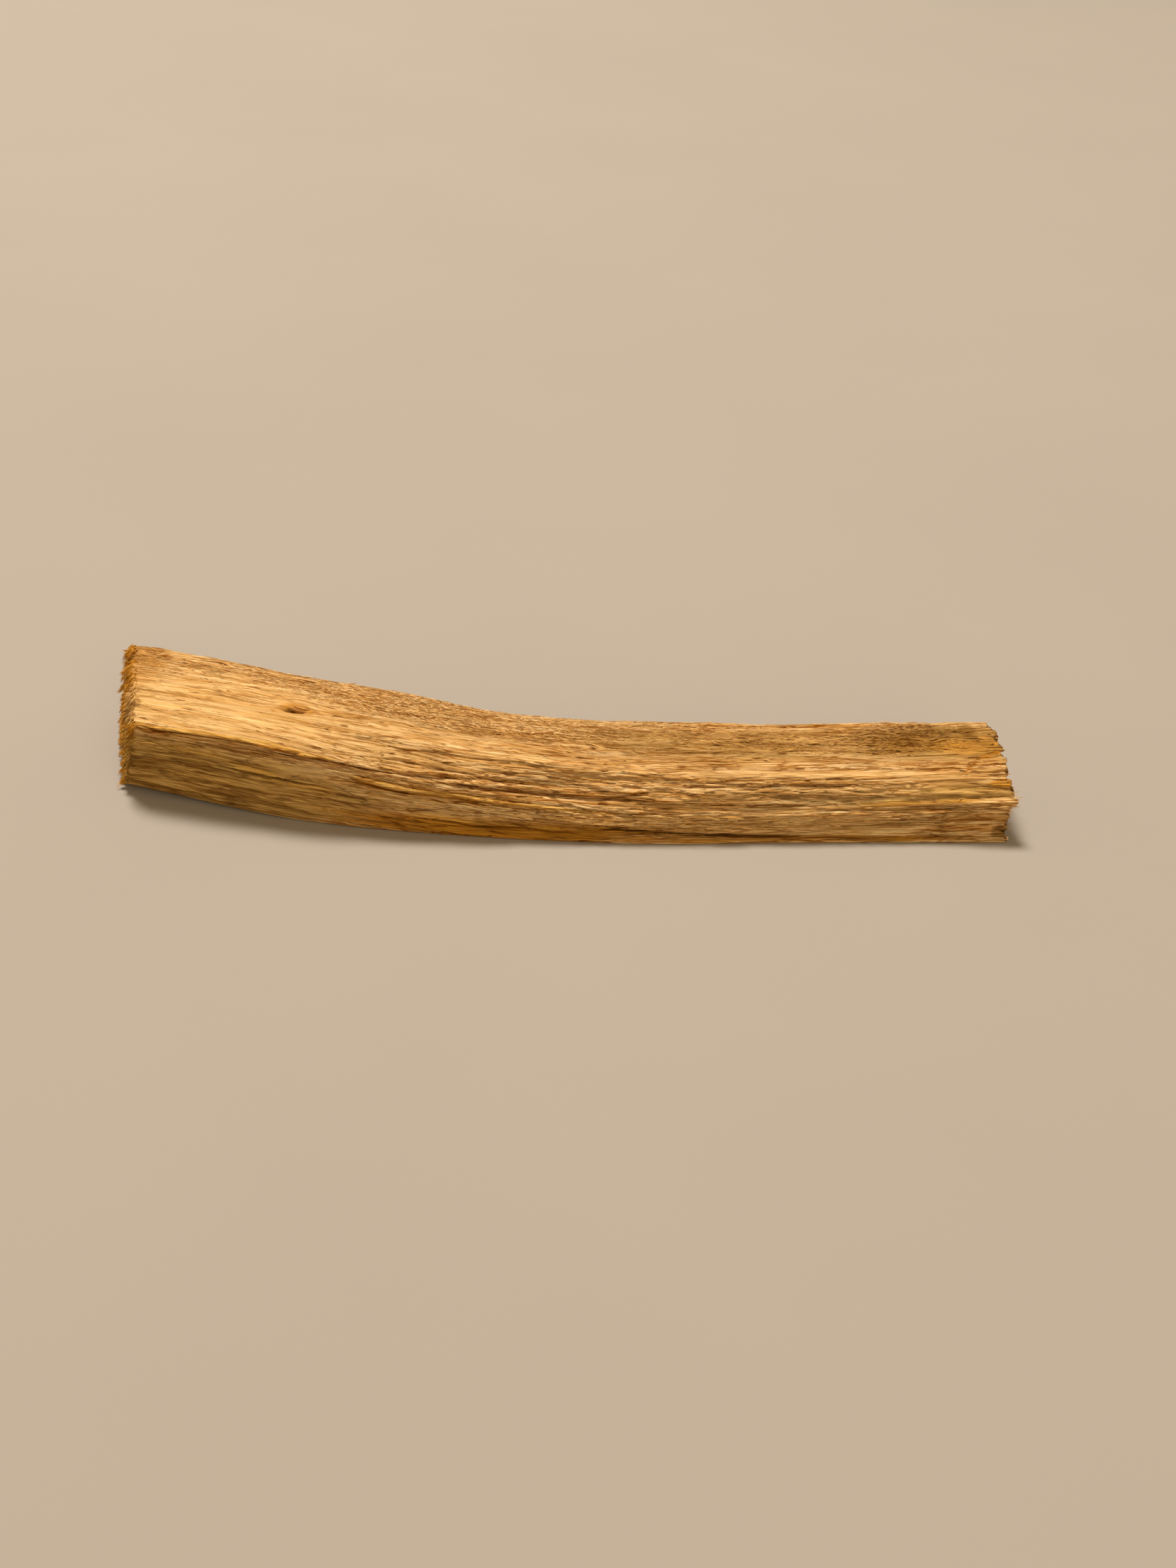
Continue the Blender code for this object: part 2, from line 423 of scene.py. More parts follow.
# The lower front edge, the lower back edge, the bulge of the back, the ridge over it, the crown
# of the top, and the upper and the lower edge of the torn ledge
STICK_FORM = StickForm(
    edges=(
        LongEdge(((-6.9, 1.0), (-8.3, 0.5), (-9.7, 0.1), (-10.1, 0.0), (-9.9, 0.0),
                  (-9.3, 0.0), (-8.1, 0.0), (-6.0, 0.0), (-4.1, 0.0), (-2.4, 0.0))),
        LongEdge(((7.0, 1.0), (5.2, 0.5), (3.4, 0.1), (2.8, 0.0), (2.6, 0.0),
                  (2.9, 0.0), (4.2, 0.0), (6.1, 0.0), (8.4, 0.0), (9.6, 0.0))),
        LongEdge(((8.2, 5.6), (4.6, 5.2), (3.6, 4.6), (5.3, 4.2), (7.9, 4.1), (10.4, 4.2)),
                 (-47, -28, -8, 13, 30, 48)),
        LongEdge(((7.6, 10.2), (5.7, 10.6), (3.9, 10.4), (3.2, 9.7), (2.8, 8.8),
                  (3.1, 8.3), (4.5, 8.0), (6.5, 7.8), (8.9, 7.8), (10.1, 8.3))),
        LongEdge(((-1.8, 9.7), (-3.6, 10.0), (-5.0, 9.8), (-5.7, 8.9), (-6.0, 8.0),
                  (-5.4, 7.3), (-4.1, 6.8), (-2.2, 6.5), (-0.4, 6.6), (1.3, 7.1))),
        LongEdge(((-7.0, 8.7), (-8.3, 9.1), (-9.2, 8.6), (-9.4, 7.2), (-8.4, 6.1),
                  (-6.9, 5.3), (-5.7, 5.1), (-3.7, 4.9), (-1.9, 4.9), (-0.4, 5.5))),
        LongEdge(((-7.0, 7.7), (-8.4, 7.8), (-9.8, 7.2), (-9.9, 5.8), (-9.4, 4.4),
                  (-8.5, 3.4), (-7.2, 3.2), (-5.1, 3.2), (-3.2, 3.4), (-1.4, 4.2))),
    ),
    shares=(0.0, 0.26, 0.37, 0.48, 0.68, 0.78, 0.85, 1.0),
)


@dataclass(frozen=True)
class Patch:
    """A soft-edged patch of the surface: its middle, its size, its strength and its slant."""

    along: float
    share: float
    length: float
    width: float
    strength: float = 1.0
    slant: float = 0.0
    fade: Pair = (0.2, 1.6)

    def spread(self, along: Array, share: Array) -> Array:
        """Finds how strong the patch is.

        Args:
            along: Distances along the stick.
            share: How far round the section each place is.

        Returns:
            The strength at each place.
        """
        ahead = (along - self.along) / self.length
        beside = (share - self.share - self.slant * (along - self.along)) / self.width
        return self.strength * (1 - smooth_step(ahead ** 2 + beside ** 2, *self.fade))


def patches(*sizes: tuple[float, ...]) -> tuple[Patch, ...]:
    """Makes a patch from each row of sizes, in the order of its fields."""
    return tuple(Patch(*size) for size in sizes)


BREAKAGE = {
    Breakage.WOOLLY: patches(
        (-13, 0.53, 25, 0.07), (38, 0.54, 6, 0.07), (-38, 0.55, 10, 0.05, 0.4),
        (15, 0.53, 14, 0.06, 0.6), (28, 0.56, 16, 0.05, 0.5),
    ),
    Breakage.TORN: patches(
        (-11, 0.75, 13, 0.045, 0.65), (10, 0.75, 14, 0.06), (29, 0.75, 12, 0.05, 0.8),
        (10, 0.88, 26, 0.055, 0.8), (37, 0.54, 7, 0.05, 0.6), (31, 0.57, 14, 0.035, 0.45),
    ),
    Breakage.SMOOTH: patches(
        (-36, 0.65, 16, 0.11, 0.85), (-38, 0.73, 13, 0.05, 0.9), (30, 0.678, 17, 0.016, 0.9),
        (-16, 0.64, 18, 0.045, 0.5), (3, 0.665, 12, 0.025, 0.6), (43, 0.74, 9, 0.07, 0.8),
    ),
    Breakage.CREASED: patches((51, 0.70, 6, 0.6)),
}

TONES = {
    Tone.GOLDEN: patches(
        (-39, 0.70, 13, 0.08), (-20, 0.72, 14, 0.05, 0.8), (-9, 0.885, 10, 0.025, 0.9),
        (30, 0.68, 18, 0.02, 0.5),
    ),
    # Yellow patches; the first two lie along the second rim's crest and paint highlight there, as the
    # rims' crests do
    Tone.MUSTARD_AND_HIGHLIGHT: patches(
        (-14, 0.838, 9, 0.012), (-3, 0.845, 12, 0.010, 0.8), (40, 0.81, 8, 0.015, 0.65),
        (-32.5, 0.886, 3, 0.010, 0.7), (-38, 0.87, 6, 0.008, 0.6), (-27, 0.90, 5, 0.008, 0.6),
        (-8, 0.93, 10, 0.010, 0.5), (14, 0.86, 14, 0.010, 0.5),
    ),
    Tone.WEATHERED_AND_SHADE: patches(
        # The four patches on the front face, at shares 0.90 to 0.965, darken it partly as weathering and
        # partly as painted shade; the rest are weathering on the upper faces
        (-42, 0.93, 26, 0.10), (-12, 0.95, 22, 0.05, 0.4), (18, 0.965, 22, 0.045, 0.4),
        (28, 0.90, 20, 0.035, 0.55), (-12, 0.535, 22, 0.04, 0.3), (22, 0.565, 26, 0.065, 0.65),
        (46, 0.56, 12, 0.08, 0.85), (38, 0.775, 22, 0.06, 0.5), (46, 0.775, 7, 0.055, 0.9),
    ),
    Tone.UMBER_AND_SHADE: patches(
        # The three patches on the lower front face, at shares 0.94 to 0.975, paint its shade near the
        # bottom edge as well as umber colour; the rest are umber wood
        (-7, 0.966, 18, 0.042), (30, 0.550, 24, 0.055, 0.45), (3, 0.940, 12, 0.045, 0.75),
        (24, 0.708, 11, 0.022, 0.5), (26, 0.975, 24, 0.02, 0.8), (-25, 0.545, 16, 0.02, 0.2),
    ),
    Tone.AMBER: patches(
        (-46.5, 0.55, 3, 0.12, 0.6), (44, 0.70, 5, 0.03, 0.5), (47, 0.57, 6, 0.05, 0.5),
        (47.5, 0.62, 3, 0.030, 0.45, 0.01), (48.3, 0.609, 2.0, 0.008, 0.9, -0.0096),
        (46.3, 0.645, 1.6, 0.012, 0.9, -0.029), (41, 0.815, 7, 0.014, 0.6),
        (49.5, 0.74, 1.5, 0.03, 0.9), (-28.2, 0.631, 2.4, 0.018, 0.9),
    ),
    Tone.STAINED_AND_SHADE: patches(
        (36.5, 0.538, 5, 0.045, 0.6), (40.5, 0.515, 5, 0.03, 0.5), (46.1, 0.514, 1.2, 0.028, 0.9),
        (-28.7, 0.639, 1.0, 0.010), (-37.2, 0.622, 0.7, 0.006, 0.7), (-45.7, 0.711, 0.8, 0.015, 0.8),
        (-42.2, 0.940, 0.6, 0.01, 0.6), (-33.0, 0.905, 0.5, 0.01, 0.6), (-22.9, 0.664, 0.4, 0.005, 0.7),
        (-21.2, 0.684, 0.4, 0.005, 0.7), (49.7, 0.955, 1.0, 0.03, 0.8), (47.2, 0.662, 0.6, 0.008, 0.8),
        # These two thin lines follow the crack near the lower front edge and paint the shade in it
        (17, 0.949, 12, 0.010, 1.0, 0.00195), (30, 0.973, 9, 0.007, 0.8, 0.00195),
    ),
}


@dataclass(frozen=True)
class LongCrack:
    """A crack along the grain, through (along, share) points, with its depth and half-width.

    Where it is a ledge, its hollow starts under the lip and both run out some widths away.
    """

    path: Points
    depth: float
    width: float = 0.006
    style: CrackStyle = CrackStyle.SPLIT
    wander: float = 0.6
    taper: float = 2.5
    hollow_start: Pair = (-0.35, 0.1)
    hollow_reach: float = 2.4
    lip: float = 0.3
    lip_reach: float = 3.0

    def cut(self, along: Array, share: Array, wander: Array) -> Array:
        """Finds how deep the crack cuts.

        Args:
            along: Distances along the stick.
            share: How far round the section each place is.
            wander: How far the crack strays from its path there, from -1 to 1.

        Returns:
            The depth at each place, below zero where a ledge stands up.
        """
        stations, shares = np.array(self.path, float).T
        inside = np.minimum(along - stations[0], stations[-1] - along)
        middle = np.interp(along, stations, shares) + wander * self.width * self.wander
        beside = (share - middle) / self.width
        if self.style is CrackStyle.SPLIT:
            profile = np.clip(1 - np.abs(beside), 0, 1)
        else:
            hollow = np.clip(1 - beside / self.hollow_reach, 0, 1)
            lip = self.lip * np.clip(1 + beside / self.lip_reach, 0, 1) * (beside < 0)
            profile = hollow * smooth_step(beside, *self.hollow_start) - lip
        return self.depth * profile * smooth_step(inside, 0, self.taper)


def split(depth: float, width: float, *path: Pair) -> LongCrack:
    """Makes an even crack through (along, share) points."""
    return LongCrack(path, depth, width)


def ledge(depth: float, width: float, *path: Pair) -> LongCrack:
    """Makes a ledge through (along, share) points."""
    return LongCrack(path, depth, width, CrackStyle.LEDGE)


CRACKS = (
    ledge(0.6, 0.007, (-32.5, 0.815), (-30, 0.809), (-26.4, 0.797), (-23.4, 0.786), (-19.7, 0.782),
          (-16.7, 0.777), (-13, 0.772), (-9, 0.766)),
    ledge(0.5, 0.008, (-12, 0.792), (-6.6, 0.792), (-3.6, 0.790), (0.6, 0.797), (3.9, 0.800),
          (7.9, 0.797), (12, 0.806)),
    ledge(0.25, 0.007, (-22, 0.830), (-12.9, 0.834), (-6.9, 0.848), (2, 0.845)),
    split(0.3, 0.006, (-8.5, 0.731), (-3.5, 0.737)),
    split(0.3, 0.006, (-8.5, 0.759), (-3.5, 0.771)),
    ledge(0.3, 0.007, (-15, 0.735), (-1, 0.772)),
    ledge(0.3, 0.007, (3, 0.733), (10.5, 0.755)),
    ledge(0.3, 0.007, (14, 0.745), (24, 0.728), (34, 0.722)),
    ledge(0.3, 0.007, (22, 0.780), (31, 0.775), (38, 0.783)),
    split(0.22, 0.004, (-19, 0.568), (-10.5, 0.561)),
    split(0.22, 0.004, (-5, 0.556), (-1.5, 0.569)),
    split(0.28, 0.004, (1.6, 0.583), (6.4, 0.588), (10.2, 0.586)),
    split(0.22, 0.004, (5.2, 0.545), (11.2, 0.538)),
    split(0.2, 0.004, (-3, 0.645), (1.2, 0.647)),
    split(0.35, 0.006, (46.7, 0.679), (49.9, 0.716)),
    split(0.8, 0.012, (5, 0.925), (7.1, 0.928), (17.4, 0.950), (25.2, 0.965), (33.2, 0.979), (39, 0.985)),
    split(0.22, 0.006, (-42, 0.915), (-25, 0.905), (-8, 0.900)),
    split(0.2, 0.006, (-38, 0.955), (-20, 0.950)),
    split(0.35, 0.008, (-30, 0.420), (25, 0.405)),
    split(0.3, 0.008, (-8, 0.320), (40, 0.335)),
    split(0.3, 0.008, (-42, 0.300), (-15, 0.340)),
    ledge(0.3, 0.007, (-49, 0.496), (-46, 0.494), (-43.5, 0.486)),
)


@dataclass(frozen=True)
class RolledRim:
    """A smooth rim where the grain rolls over an edge, through (along, share) points."""

    path: Points
    height: float
    width: float = 0.007
    taper: float = 2.0
    # How far below the crest, as a share, the strip of painted shadow under the rim lies
    underside_shadow: float = 0.013

    def spread(self, along: Array, share: Array) -> Array:
        """Finds how near the rim's crest is.

        Args:
            along: Distances along the stick.
            share: How far round the section each place is.

        Returns:
            From 0 away from the rim to 1 on its crest, at each place.
        """
        stations, shares = np.array(self.path, float).T
        beside = (share - np.interp(along, stations, shares)) / self.width
        inside = np.minimum(along - stations[0], stations[-1] - along)
        return np.exp(-beside ** 2) * smooth_step(inside, 0, self.taper)


RIMS = (
    RolledRim(((-49, 0.775), (-45, 0.776), (-42.7, 0.782), (-40.5, 0.779), (-34, 0.776),
               (-30.2, 0.770), (-28.7, 0.777), (-25.7, 0.784), (-22, 0.775)), 0.14),
    RolledRim(((-22.5, 0.836), (-20.9, 0.840), (-16.4, 0.849), (-10, 0.838), (-4, 0.846)), 0.16),
)


def strongest(spots: Iterable[Patch | RolledRim], along: Array, share: Array) -> Array:
    """Finds how strong the strongest of some patches or rims is at each (along, share)."""
    return np.max([spot.spread(along, share) for spot in spots], axis=0)


@dataclass(frozen=True)
class Knot:
    """The small knot in the top face: a pit beside a swelling that the fibres curve over."""

    along: float = -28.4
    share: float = 0.636
    length: float = 1.4
    width: float = 0.024
    slant: float = -0.006
    depth: float = 0.8
    pit_sharpness: Pair = (2.0, 2.0)
    swelling: float = 0.35
    swelling_shape: Pair = (0.7, 1.2)

    def rise(self, along: Array, share: Array) -> Array:
        """Finds how far the knot raises the surface, or sinks it where it is below zero.

        Args:
            along: Distances along the stick.
            share: How far round the section each place is.

        Returns:
            The rise at each place.
        """
        ahead = (along - self.along) / self.length
        beside = (share - self.share - self.slant * (along - self.along)) / self.width
        sharpness, narrowness = self.pit_sharpness
        flatness, aside = self.swelling_shape
        pit = np.exp(-sharpness * (ahead ** 2 + (beside * narrowness) ** 2))
        over = np.exp(-((ahead * flatness) ** 2 + (beside + aside) ** 2))
        return self.swelling * over - self.depth * pit


@dataclass(frozen=True)
class SurfacePlaces:
    """Places on the form: where each is along and round it, on the section and in the grain."""

    along: Array
    share: Array
    section: Array
    unbent: Array


@dataclass(frozen=True)
class Roughness:
    """How the form's surface is roughened by its grain, its layers, its splits and its tears.

    Spacings are along and across the stick, and the calmings say how much of the roughness is
    lost to each kind of breakage and to the rims.
    """

    swell: float = 0.3
    swell_spacing: Pair = (17, 3.2)
    swell_seed: float = 1.3
    grain: float = 0.12
    grain_spacing: Pair = (9, 1.0)
    grain_seed: float = 2.6
    torn_gain: float = 0.5
    torn_shares: Pair = (0.68, 0.86)
    bundles: FibreLayer = FibreLayer((16, 0.95), 3.3, step=0.12, gap=0.06, lean=0.10)
    strands: FibreLayer = FibreLayer((7, 0.55), 6.6, step=0.05, gap=0.03, lean=0.06)
    creases: FibreLayer = FibreLayer((9, 0.85), 1.7, step=0.11, gap=0.22)
    plain_wave: Waviness = Waviness(0.25, 6.0)
    flakes: FibreLayer = FibreLayer((5.0, 0.62), 7.7, step=0.22, gap=0.04, lean=0.12, tilt=0.20)
    thin_flakes: FibreLayer = FibreLayer((3.6, 0.34), 2.9, step=0.06, gap=0.03, lean=0.06)
    flake_wave: Waviness = Waviness(0.35, 3.0, 0.10)
    wool: FibreLayer = FibreLayer((2.0, 0.30), 4.4, step=0.06, gap=0.075)
    wool_lift: float = 0.015
    wool_wave: Waviness = Waviness(0.3, 1.2, 0.12)
    splits: float = 0.18
    split_width: float = 0.04
    split_spacing: Pair = (14, 0.9)
    split_seed: float = 9.4
    split_presence: Pair = (0.08, 0.25)
    presence_spacing: Pair = (6, 1.6)
    presence_seed: float = 2.2
    wander_spacing: Pair = (2.5, 1.0)
    wander_seed: float = 6.3
    smooth_calming: float = 0.7
    rim_calming: float = 0.8
    woolly_calming: float = 0.6
    torn_calming: float = 0.5
    smooth_below: float = 0.3
    rough_above: float = 1.5
    knot: Knot = Knot()

    def splitting(self, unbent: Array) -> Array:
        """Makes narrow splits that come and go along the grain.

        Args:
            unbent: Places in the straight grain, one (along, across, up) row each.

        Returns:
            From 0 beside a split to 1 in its middle, at each place.
        """
        line = 1 - np.abs(grain_noise(unbent, self.split_spacing, self.split_seed)) / self.split_width
        come_and_go = grain_noise(unbent, self.presence_spacing, self.presence_seed)
        return np.clip(line, 0, 1) * smooth_step(come_and_go, *self.split_presence)

    def rise(self, places: SurfacePlaces) -> tuple[Array, Array]:
        """Finds how far the worn surface rises over the form at each place.

        Args:
            places: Places on the form.

        Returns:
            The rise along the section's outward direction, below zero in a hollow, and how
            light the fibre at each place is, from 0 to 1.
        """
        along, share, unbent = places.along, places.share, places.unbent
        bent = np.column_stack([along, places.section])
        band = (share > self.torn_shares[0]) & (share < self.torn_shares[1])
        broken = {kind: strongest(BREAKAGE[kind], along, share) for kind in Breakage}
        smooth, woolly, torn = (broken[k] for k in (Breakage.SMOOTH, Breakage.WOOLLY, Breakage.TORN))
        calm = (1 - self.smooth_calming * smooth) * (1 - self.rim_calming * strongest(RIMS, along, share))
        plain = calm * (1 - self.woolly_calming * woolly) * (1 - self.torn_calming * torn)
        waved = self.plain_wave.bend(unbent)
        flaked = self.flake_wave.bend(unbent)
        bundle, strand = self.bundles.cells(waved), self.strands.cells(waved)
        flakes = self.flakes.rise(self.flakes.cells(flaked))
        flakes += self.thin_flakes.rise(self.thin_flakes.cells(flaked))
        wool = self.wool.rise(self.wool.cells(self.wool_wave.bend(unbent))) + self.wool_lift
        grain = grain_noise(bent, self.grain_spacing, self.grain_seed) * (1 + self.torn_gain * band)

        rise = self.swell * grain_noise(bent, self.swell_spacing, self.swell_seed)
        rise += self.grain * grain * calm
        rise += (self.bundles.rise(bundle) + self.strands.rise(strand)) * plain
        rise -= self.splits * self.splitting(unbent) * plain
        rise += wool * woolly + flakes * torn
        rise += self.creases.rise(self.creases.cells(waved)) * broken[Breakage.CREASED]
        wander = grain_noise(unbent, self.wander_spacing, self.wander_seed)
        for crack in CRACKS:
            rise -= crack.cut(along, share, wander)
        for rim in RIMS:
            rise += rim.height * rim.spread(along, share)
        rise += self.knot.rise(along, share)

        above = places.section[:, 1] - self.smooth_below
        rough = np.clip(above / (self.rough_above - self.smooth_below), 0, 1)
        return rise * rough, (bundle.value + strand.value) / 2


@dataclass
class WoodSurface:
    """The worn surface of the stick, which everything that grows from it stands on."""

    form: StickForm = STICK_FORM
    roughness: Roughness = Roughness()

    def places(self, along: Array, share: Array) -> SurfacePlaces:
        """Finds where each (along, share) is on the form."""
        section = self.form.section(along, share)
        return SurfacePlaces(along, share, section, self.form.unbent(along, section))

    def outward(self, along: Array, share: Array) -> Array:
        """Finds the direction out of the surface at each (along, share)."""
        return np.column_stack([np.zeros(len(along)), self.form.outward(along, share)])

    def points(self, places: SurfacePlaces, rise: Array) -> Array:
        """Finds the points of the surface.

        Args:
            places: Places on the form.
            rise: How far the worn surface rises over the form at each of them.

        Returns:
            An (along, across, up) row for each place, none of them lower than the rest face.
        """
        bare = np.column_stack([places.along, places.section])
        points = bare + self.outward(places.along, places.share) * rise[:, None]
        points[:, 2] = np.maximum(points[:, 2], 0)
        return points

    def tones(self, along: Array, share: Array) -> dict[str, Array]:
        """Finds how strong each tone and each kind of breakage is.

        Args:
            along: Distances along the stick.
            share: How far round the section each place is.

        Returns:
            The strength at each place, by the name of the tone or of the breakage.
        """
        kinds = {**TONES, **BREAKAGE}
        tones = {kind.value: strongest(spots, along, share) for kind, spots in kinds.items()}
        # The rims' crests get painted highlight in the yellow tone, and a strip just under them painted
        # shadow in the umber tone
        crest = strongest(RIMS, along, share)
        shade = np.max([rim.spread(along, share - rim.underside_shadow) for rim in RIMS], axis=0)
        for tone, spread in ((Tone.MUSTARD_AND_HIGHLIGHT, crest), (Tone.UMBER_AND_SHADE, shade)):
            tones[tone.value] = np.maximum(tones[tone.value], spread)
        return tones


def link(mesh: Mesh, material: Material) -> Object:
    """Puts a finished wooden mesh in the scene, riding with the stick.

    Args:
        mesh: The mesh, in metres, in its place.
        material: Its finish.

    Returns:
        The new object.
    """
    mesh.materials.append(material)
    mesh.shade_smooth()
    piece = bpy.data.objects.new(mesh.name, mesh)
    bpy.context.scene.collection.objects.link(piece)
    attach(piece, BODY)
    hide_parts(STICK_NODE)
    return piece


def store(mesh: Mesh, name: str, values: Array) -> None:
    """Stores a number or a vector for each vertex, for the materials to read.

    Args:
        mesh: The mesh that gets the attribute.
        name: The attribute's name.
        values: One number or one row of three for each vertex.
    """
    kind, field = ("FLOAT", "value") if values.ndim == 1 else ("FLOAT_VECTOR", "vector")
    attribute = mesh.attributes.new(name, kind, "POINT")
    attribute.data.foreach_set(field, values.astype(np.float32).ravel())


def spaced(stops: Points) -> Array:
    """Spreads shares evenly between stops, each a share and the number of steps up to it."""
    shares, counts = np.array(stops, float).T
    return np.interp(np.arange(counts[-1] + 1), counts, shares)


@dataclass
class StickSkin:
    """The stick's whole closed surface, in one mesh of rings.

    The columns stand round the section, few of them on the rest face, and the rows along it.
    """

    surface: WoodSurface
    columns: Points = (
        (0.0, 0), (0.26, 28), (0.48, 92), (0.68, 196), (0.78, 254), (0.85, 284), (1.0, 364),
    )
    rows: Points = ((0.0, 0), (0.04, 14), (0.95, 226), (1.0, 249))
    cap_shares: tuple[float, ...] = (0.985, 0.955, 0.91, 0.85, 0.77, 0.67, 0.55, 0.42, 0.28, 0.14)
    rim_blend: Pair = (0.8, 1.0)
    # Painted shade in the hollows: the depth below the neighbours' mean for full shade, the part of it
    # that gives none, and the neighbours counted each side
    hollow_depth: float = 0.13
    hollow_from: float = 0.1
    hollow_reach: int = 4
    # The end faces are darkened all over with the hollows' colour, at this strength
    end_face_darkening: float = 0.8
    name: str = "stick_skin"

    def body(self) -> tuple[Array, dict[str, Array]]:
        """Works out the rings between the two ends, from the right end to the left.

        Returns:
            The points, a row for each ring, and the values that the material reads, by name, for
            one point after another.
        """
        form = self.surface.form
        share = spaced(self.columns)[:-1]
        rows = spaced(self.rows)[::-1]
        left, right = form.end_along(form.left, share), form.end_along(form.right, share)
        along = (left + (right - left) * rows[:, None]).ravel()
        around = np.tile(share, len(rows))
        places = self.surface.places(along, around)
        rise, tint = self.surface.roughness.rise(places)
        points = self.surface.points(places, rise).reshape(len(rows), len(share), 3)
        # How far each point lies below its neighbours, which the material turns into painted shade
        hollow = self.hollowness(rise.reshape(len(rows), len(share))).ravel()
        values = {"grain_place": places.unbent, "hollow": hollow, "tint": tint}
        return points, {**values, **self.surface.tones(along, around)}

    def hollowness(self, rise: Array) -> Array:
        """Finds how far each point lies below those around it.

        Args:
            rise: How far each point rises, a row for each ring.

        Returns:
            From 0, level with the mean of its neighbours in the ring, to 1 in a deep hollow.
        """
        steps = range(-self.hollow_reach, self.hollow_reach + 1)
        mean = sum(np.roll(rise, step, axis=1) for step in steps) / len(steps)
        return np.clip((mean - rise) / self.hollow_depth - self.hollow_from, 0, 1)

    def cap(self, rim: Array, end: SawCut | RaggedBreak) -> Array:
        """Works out the rings of an end face, from its rim inwards.

        Args:
            rim: The points of the body's last ring.
            end: The cut or break that the face follows.

        Returns:
            The points of each ring.
        """
        plain = self.surface.form.section(rim[:, 0], spaced(self.columns)[:-1])
        middle = plain.mean(axis=0)
        rings = []
        for shrink in self.cap_shares:
            edge = smooth_step(shrink, *self.rim_blend)
            drawn = plain * (1 - edge) + rim[:, 1:] * edge
            across, up = (middle + (drawn - middle) * shrink).T
            rings.append(np.column_stack([end.reach(across, up), across, up]))
        return np.array(rings)

    def mesh(self, points: Array) -> tuple[Mesh, Array, Array]:
        """Draws a ball of rings out into the stick.

        Args:
            points: The points of each ring, from the right end to the left.

        Returns:
            The mesh, and the ring and the column of each of its vertices.
        """
        rings, columns = points.shape[:2]
        ball = bmesh.new()
        bmesh.ops.create_uvsphere(ball, u_segments=columns, v_segments=rings + 1, radius=1)
        places = np.array([vert.co for vert in ball.verts])
        polar = np.arccos(np.clip(places[:, 2], -1, 1)) / math.pi
        row = np.rint(polar * (rings + 1)).astype(int) - 1
        turn = np.arctan2(places[:, 1], places[:, 0]) / math.tau
        column = np.rint(turn * columns).astype(int) % columns
        inside = np.clip(row, 0, rings - 1)
        moved = points[inside, column]
        moved[row < 0] = points[0].mean(axis=0)
        moved[row == rings] = points[-1].mean(axis=0)
        for vert, place in zip(ball.verts, moved * MM):
            vert.co = place
        ball.normal_update()
        bmesh.ops.recalc_face_normals(ball, faces=ball.faces)
        mesh = bpy.data.meshes.new(self.name)
        ball.to_mesh(mesh)
        ball.free()
        return mesh, inside, column

    def build(self, material: Material) -> Object:
        """Builds the skin and stores what its material reads.

        Args:
            material: The finish of the wood.

        Returns:
            The skin's object.
        """
        points, values = self.body()
        form = self.surface.form
        right = self.cap(points[0], form.right)[::-1]
        rings = np.concatenate([right, points, self.cap(points[-1], form.left)])
        mesh, row, column = self.mesh(rings)
        body_row = np.clip(row - len(right), 0, len(points) - 1)
        on_end = row - len(right) != body_row
        index = body_row * points.shape[1] + column
        flat = rings[row, column][on_end]
        values = {name: value[index] for name, value in values.items()}
        values["grain_place"][on_end] = form.unbent(flat[:, 0], flat[:, 1:])
        # The end faces take that darkening all over
        values["hollow"][on_end] = self.end_face_darkening
        for name, value in values.items():
            store(mesh, name, value)
        return link(mesh, material)


@dataclass(frozen=True)
class FibreTemplate:
    """One tapered fibre, closed at both ends, that a joined mesh repeats."""

    sides: int = 3
    lengths: int = 4
    root: float = 0.35
    tip: float = 0.12

    def steps(self) -> Array:
        """Gives the places along the fibre, from 0 to 1."""
        return np.linspace(0, 1, self.lengths + 1)

    def shape(self) -> tuple[Array, list[tuple[int, ...]]]:
        """Makes the fibre along Z, from 0 to 1, with a radius of 1 in its middle.

        Returns:
            Its vertices, and the vertex numbers of its faces.
        """
        body = bmesh.new()
        bmesh.ops.create_cone(
            body, cap_ends=True, segments=self.sides, radius1=1, radius2=1, depth=1,
            matrix=Matrix.Translation((0, 0, 0.5)),
        )
        upright = [e for e in body.edges if abs(e.verts[0].co.z - e.verts[1].co.z) > 0.5]
        bmesh.ops.subdivide_edges(body, edges=upright, cuts=self.lengths - 1)
        for vert in body.verts:
            away = 2 * vert.co.z - 1
            taper = 1 - (1 - (self.tip if away > 0 else self.root)) * away ** 2
            vert.co.x *= taper
            vert.co.y *= taper
        places = np.array([vert.co for vert in body.verts])
        faces = [tuple(vert.index for vert in face.verts) for face in body.faces]
        body.free()
        return places, faces


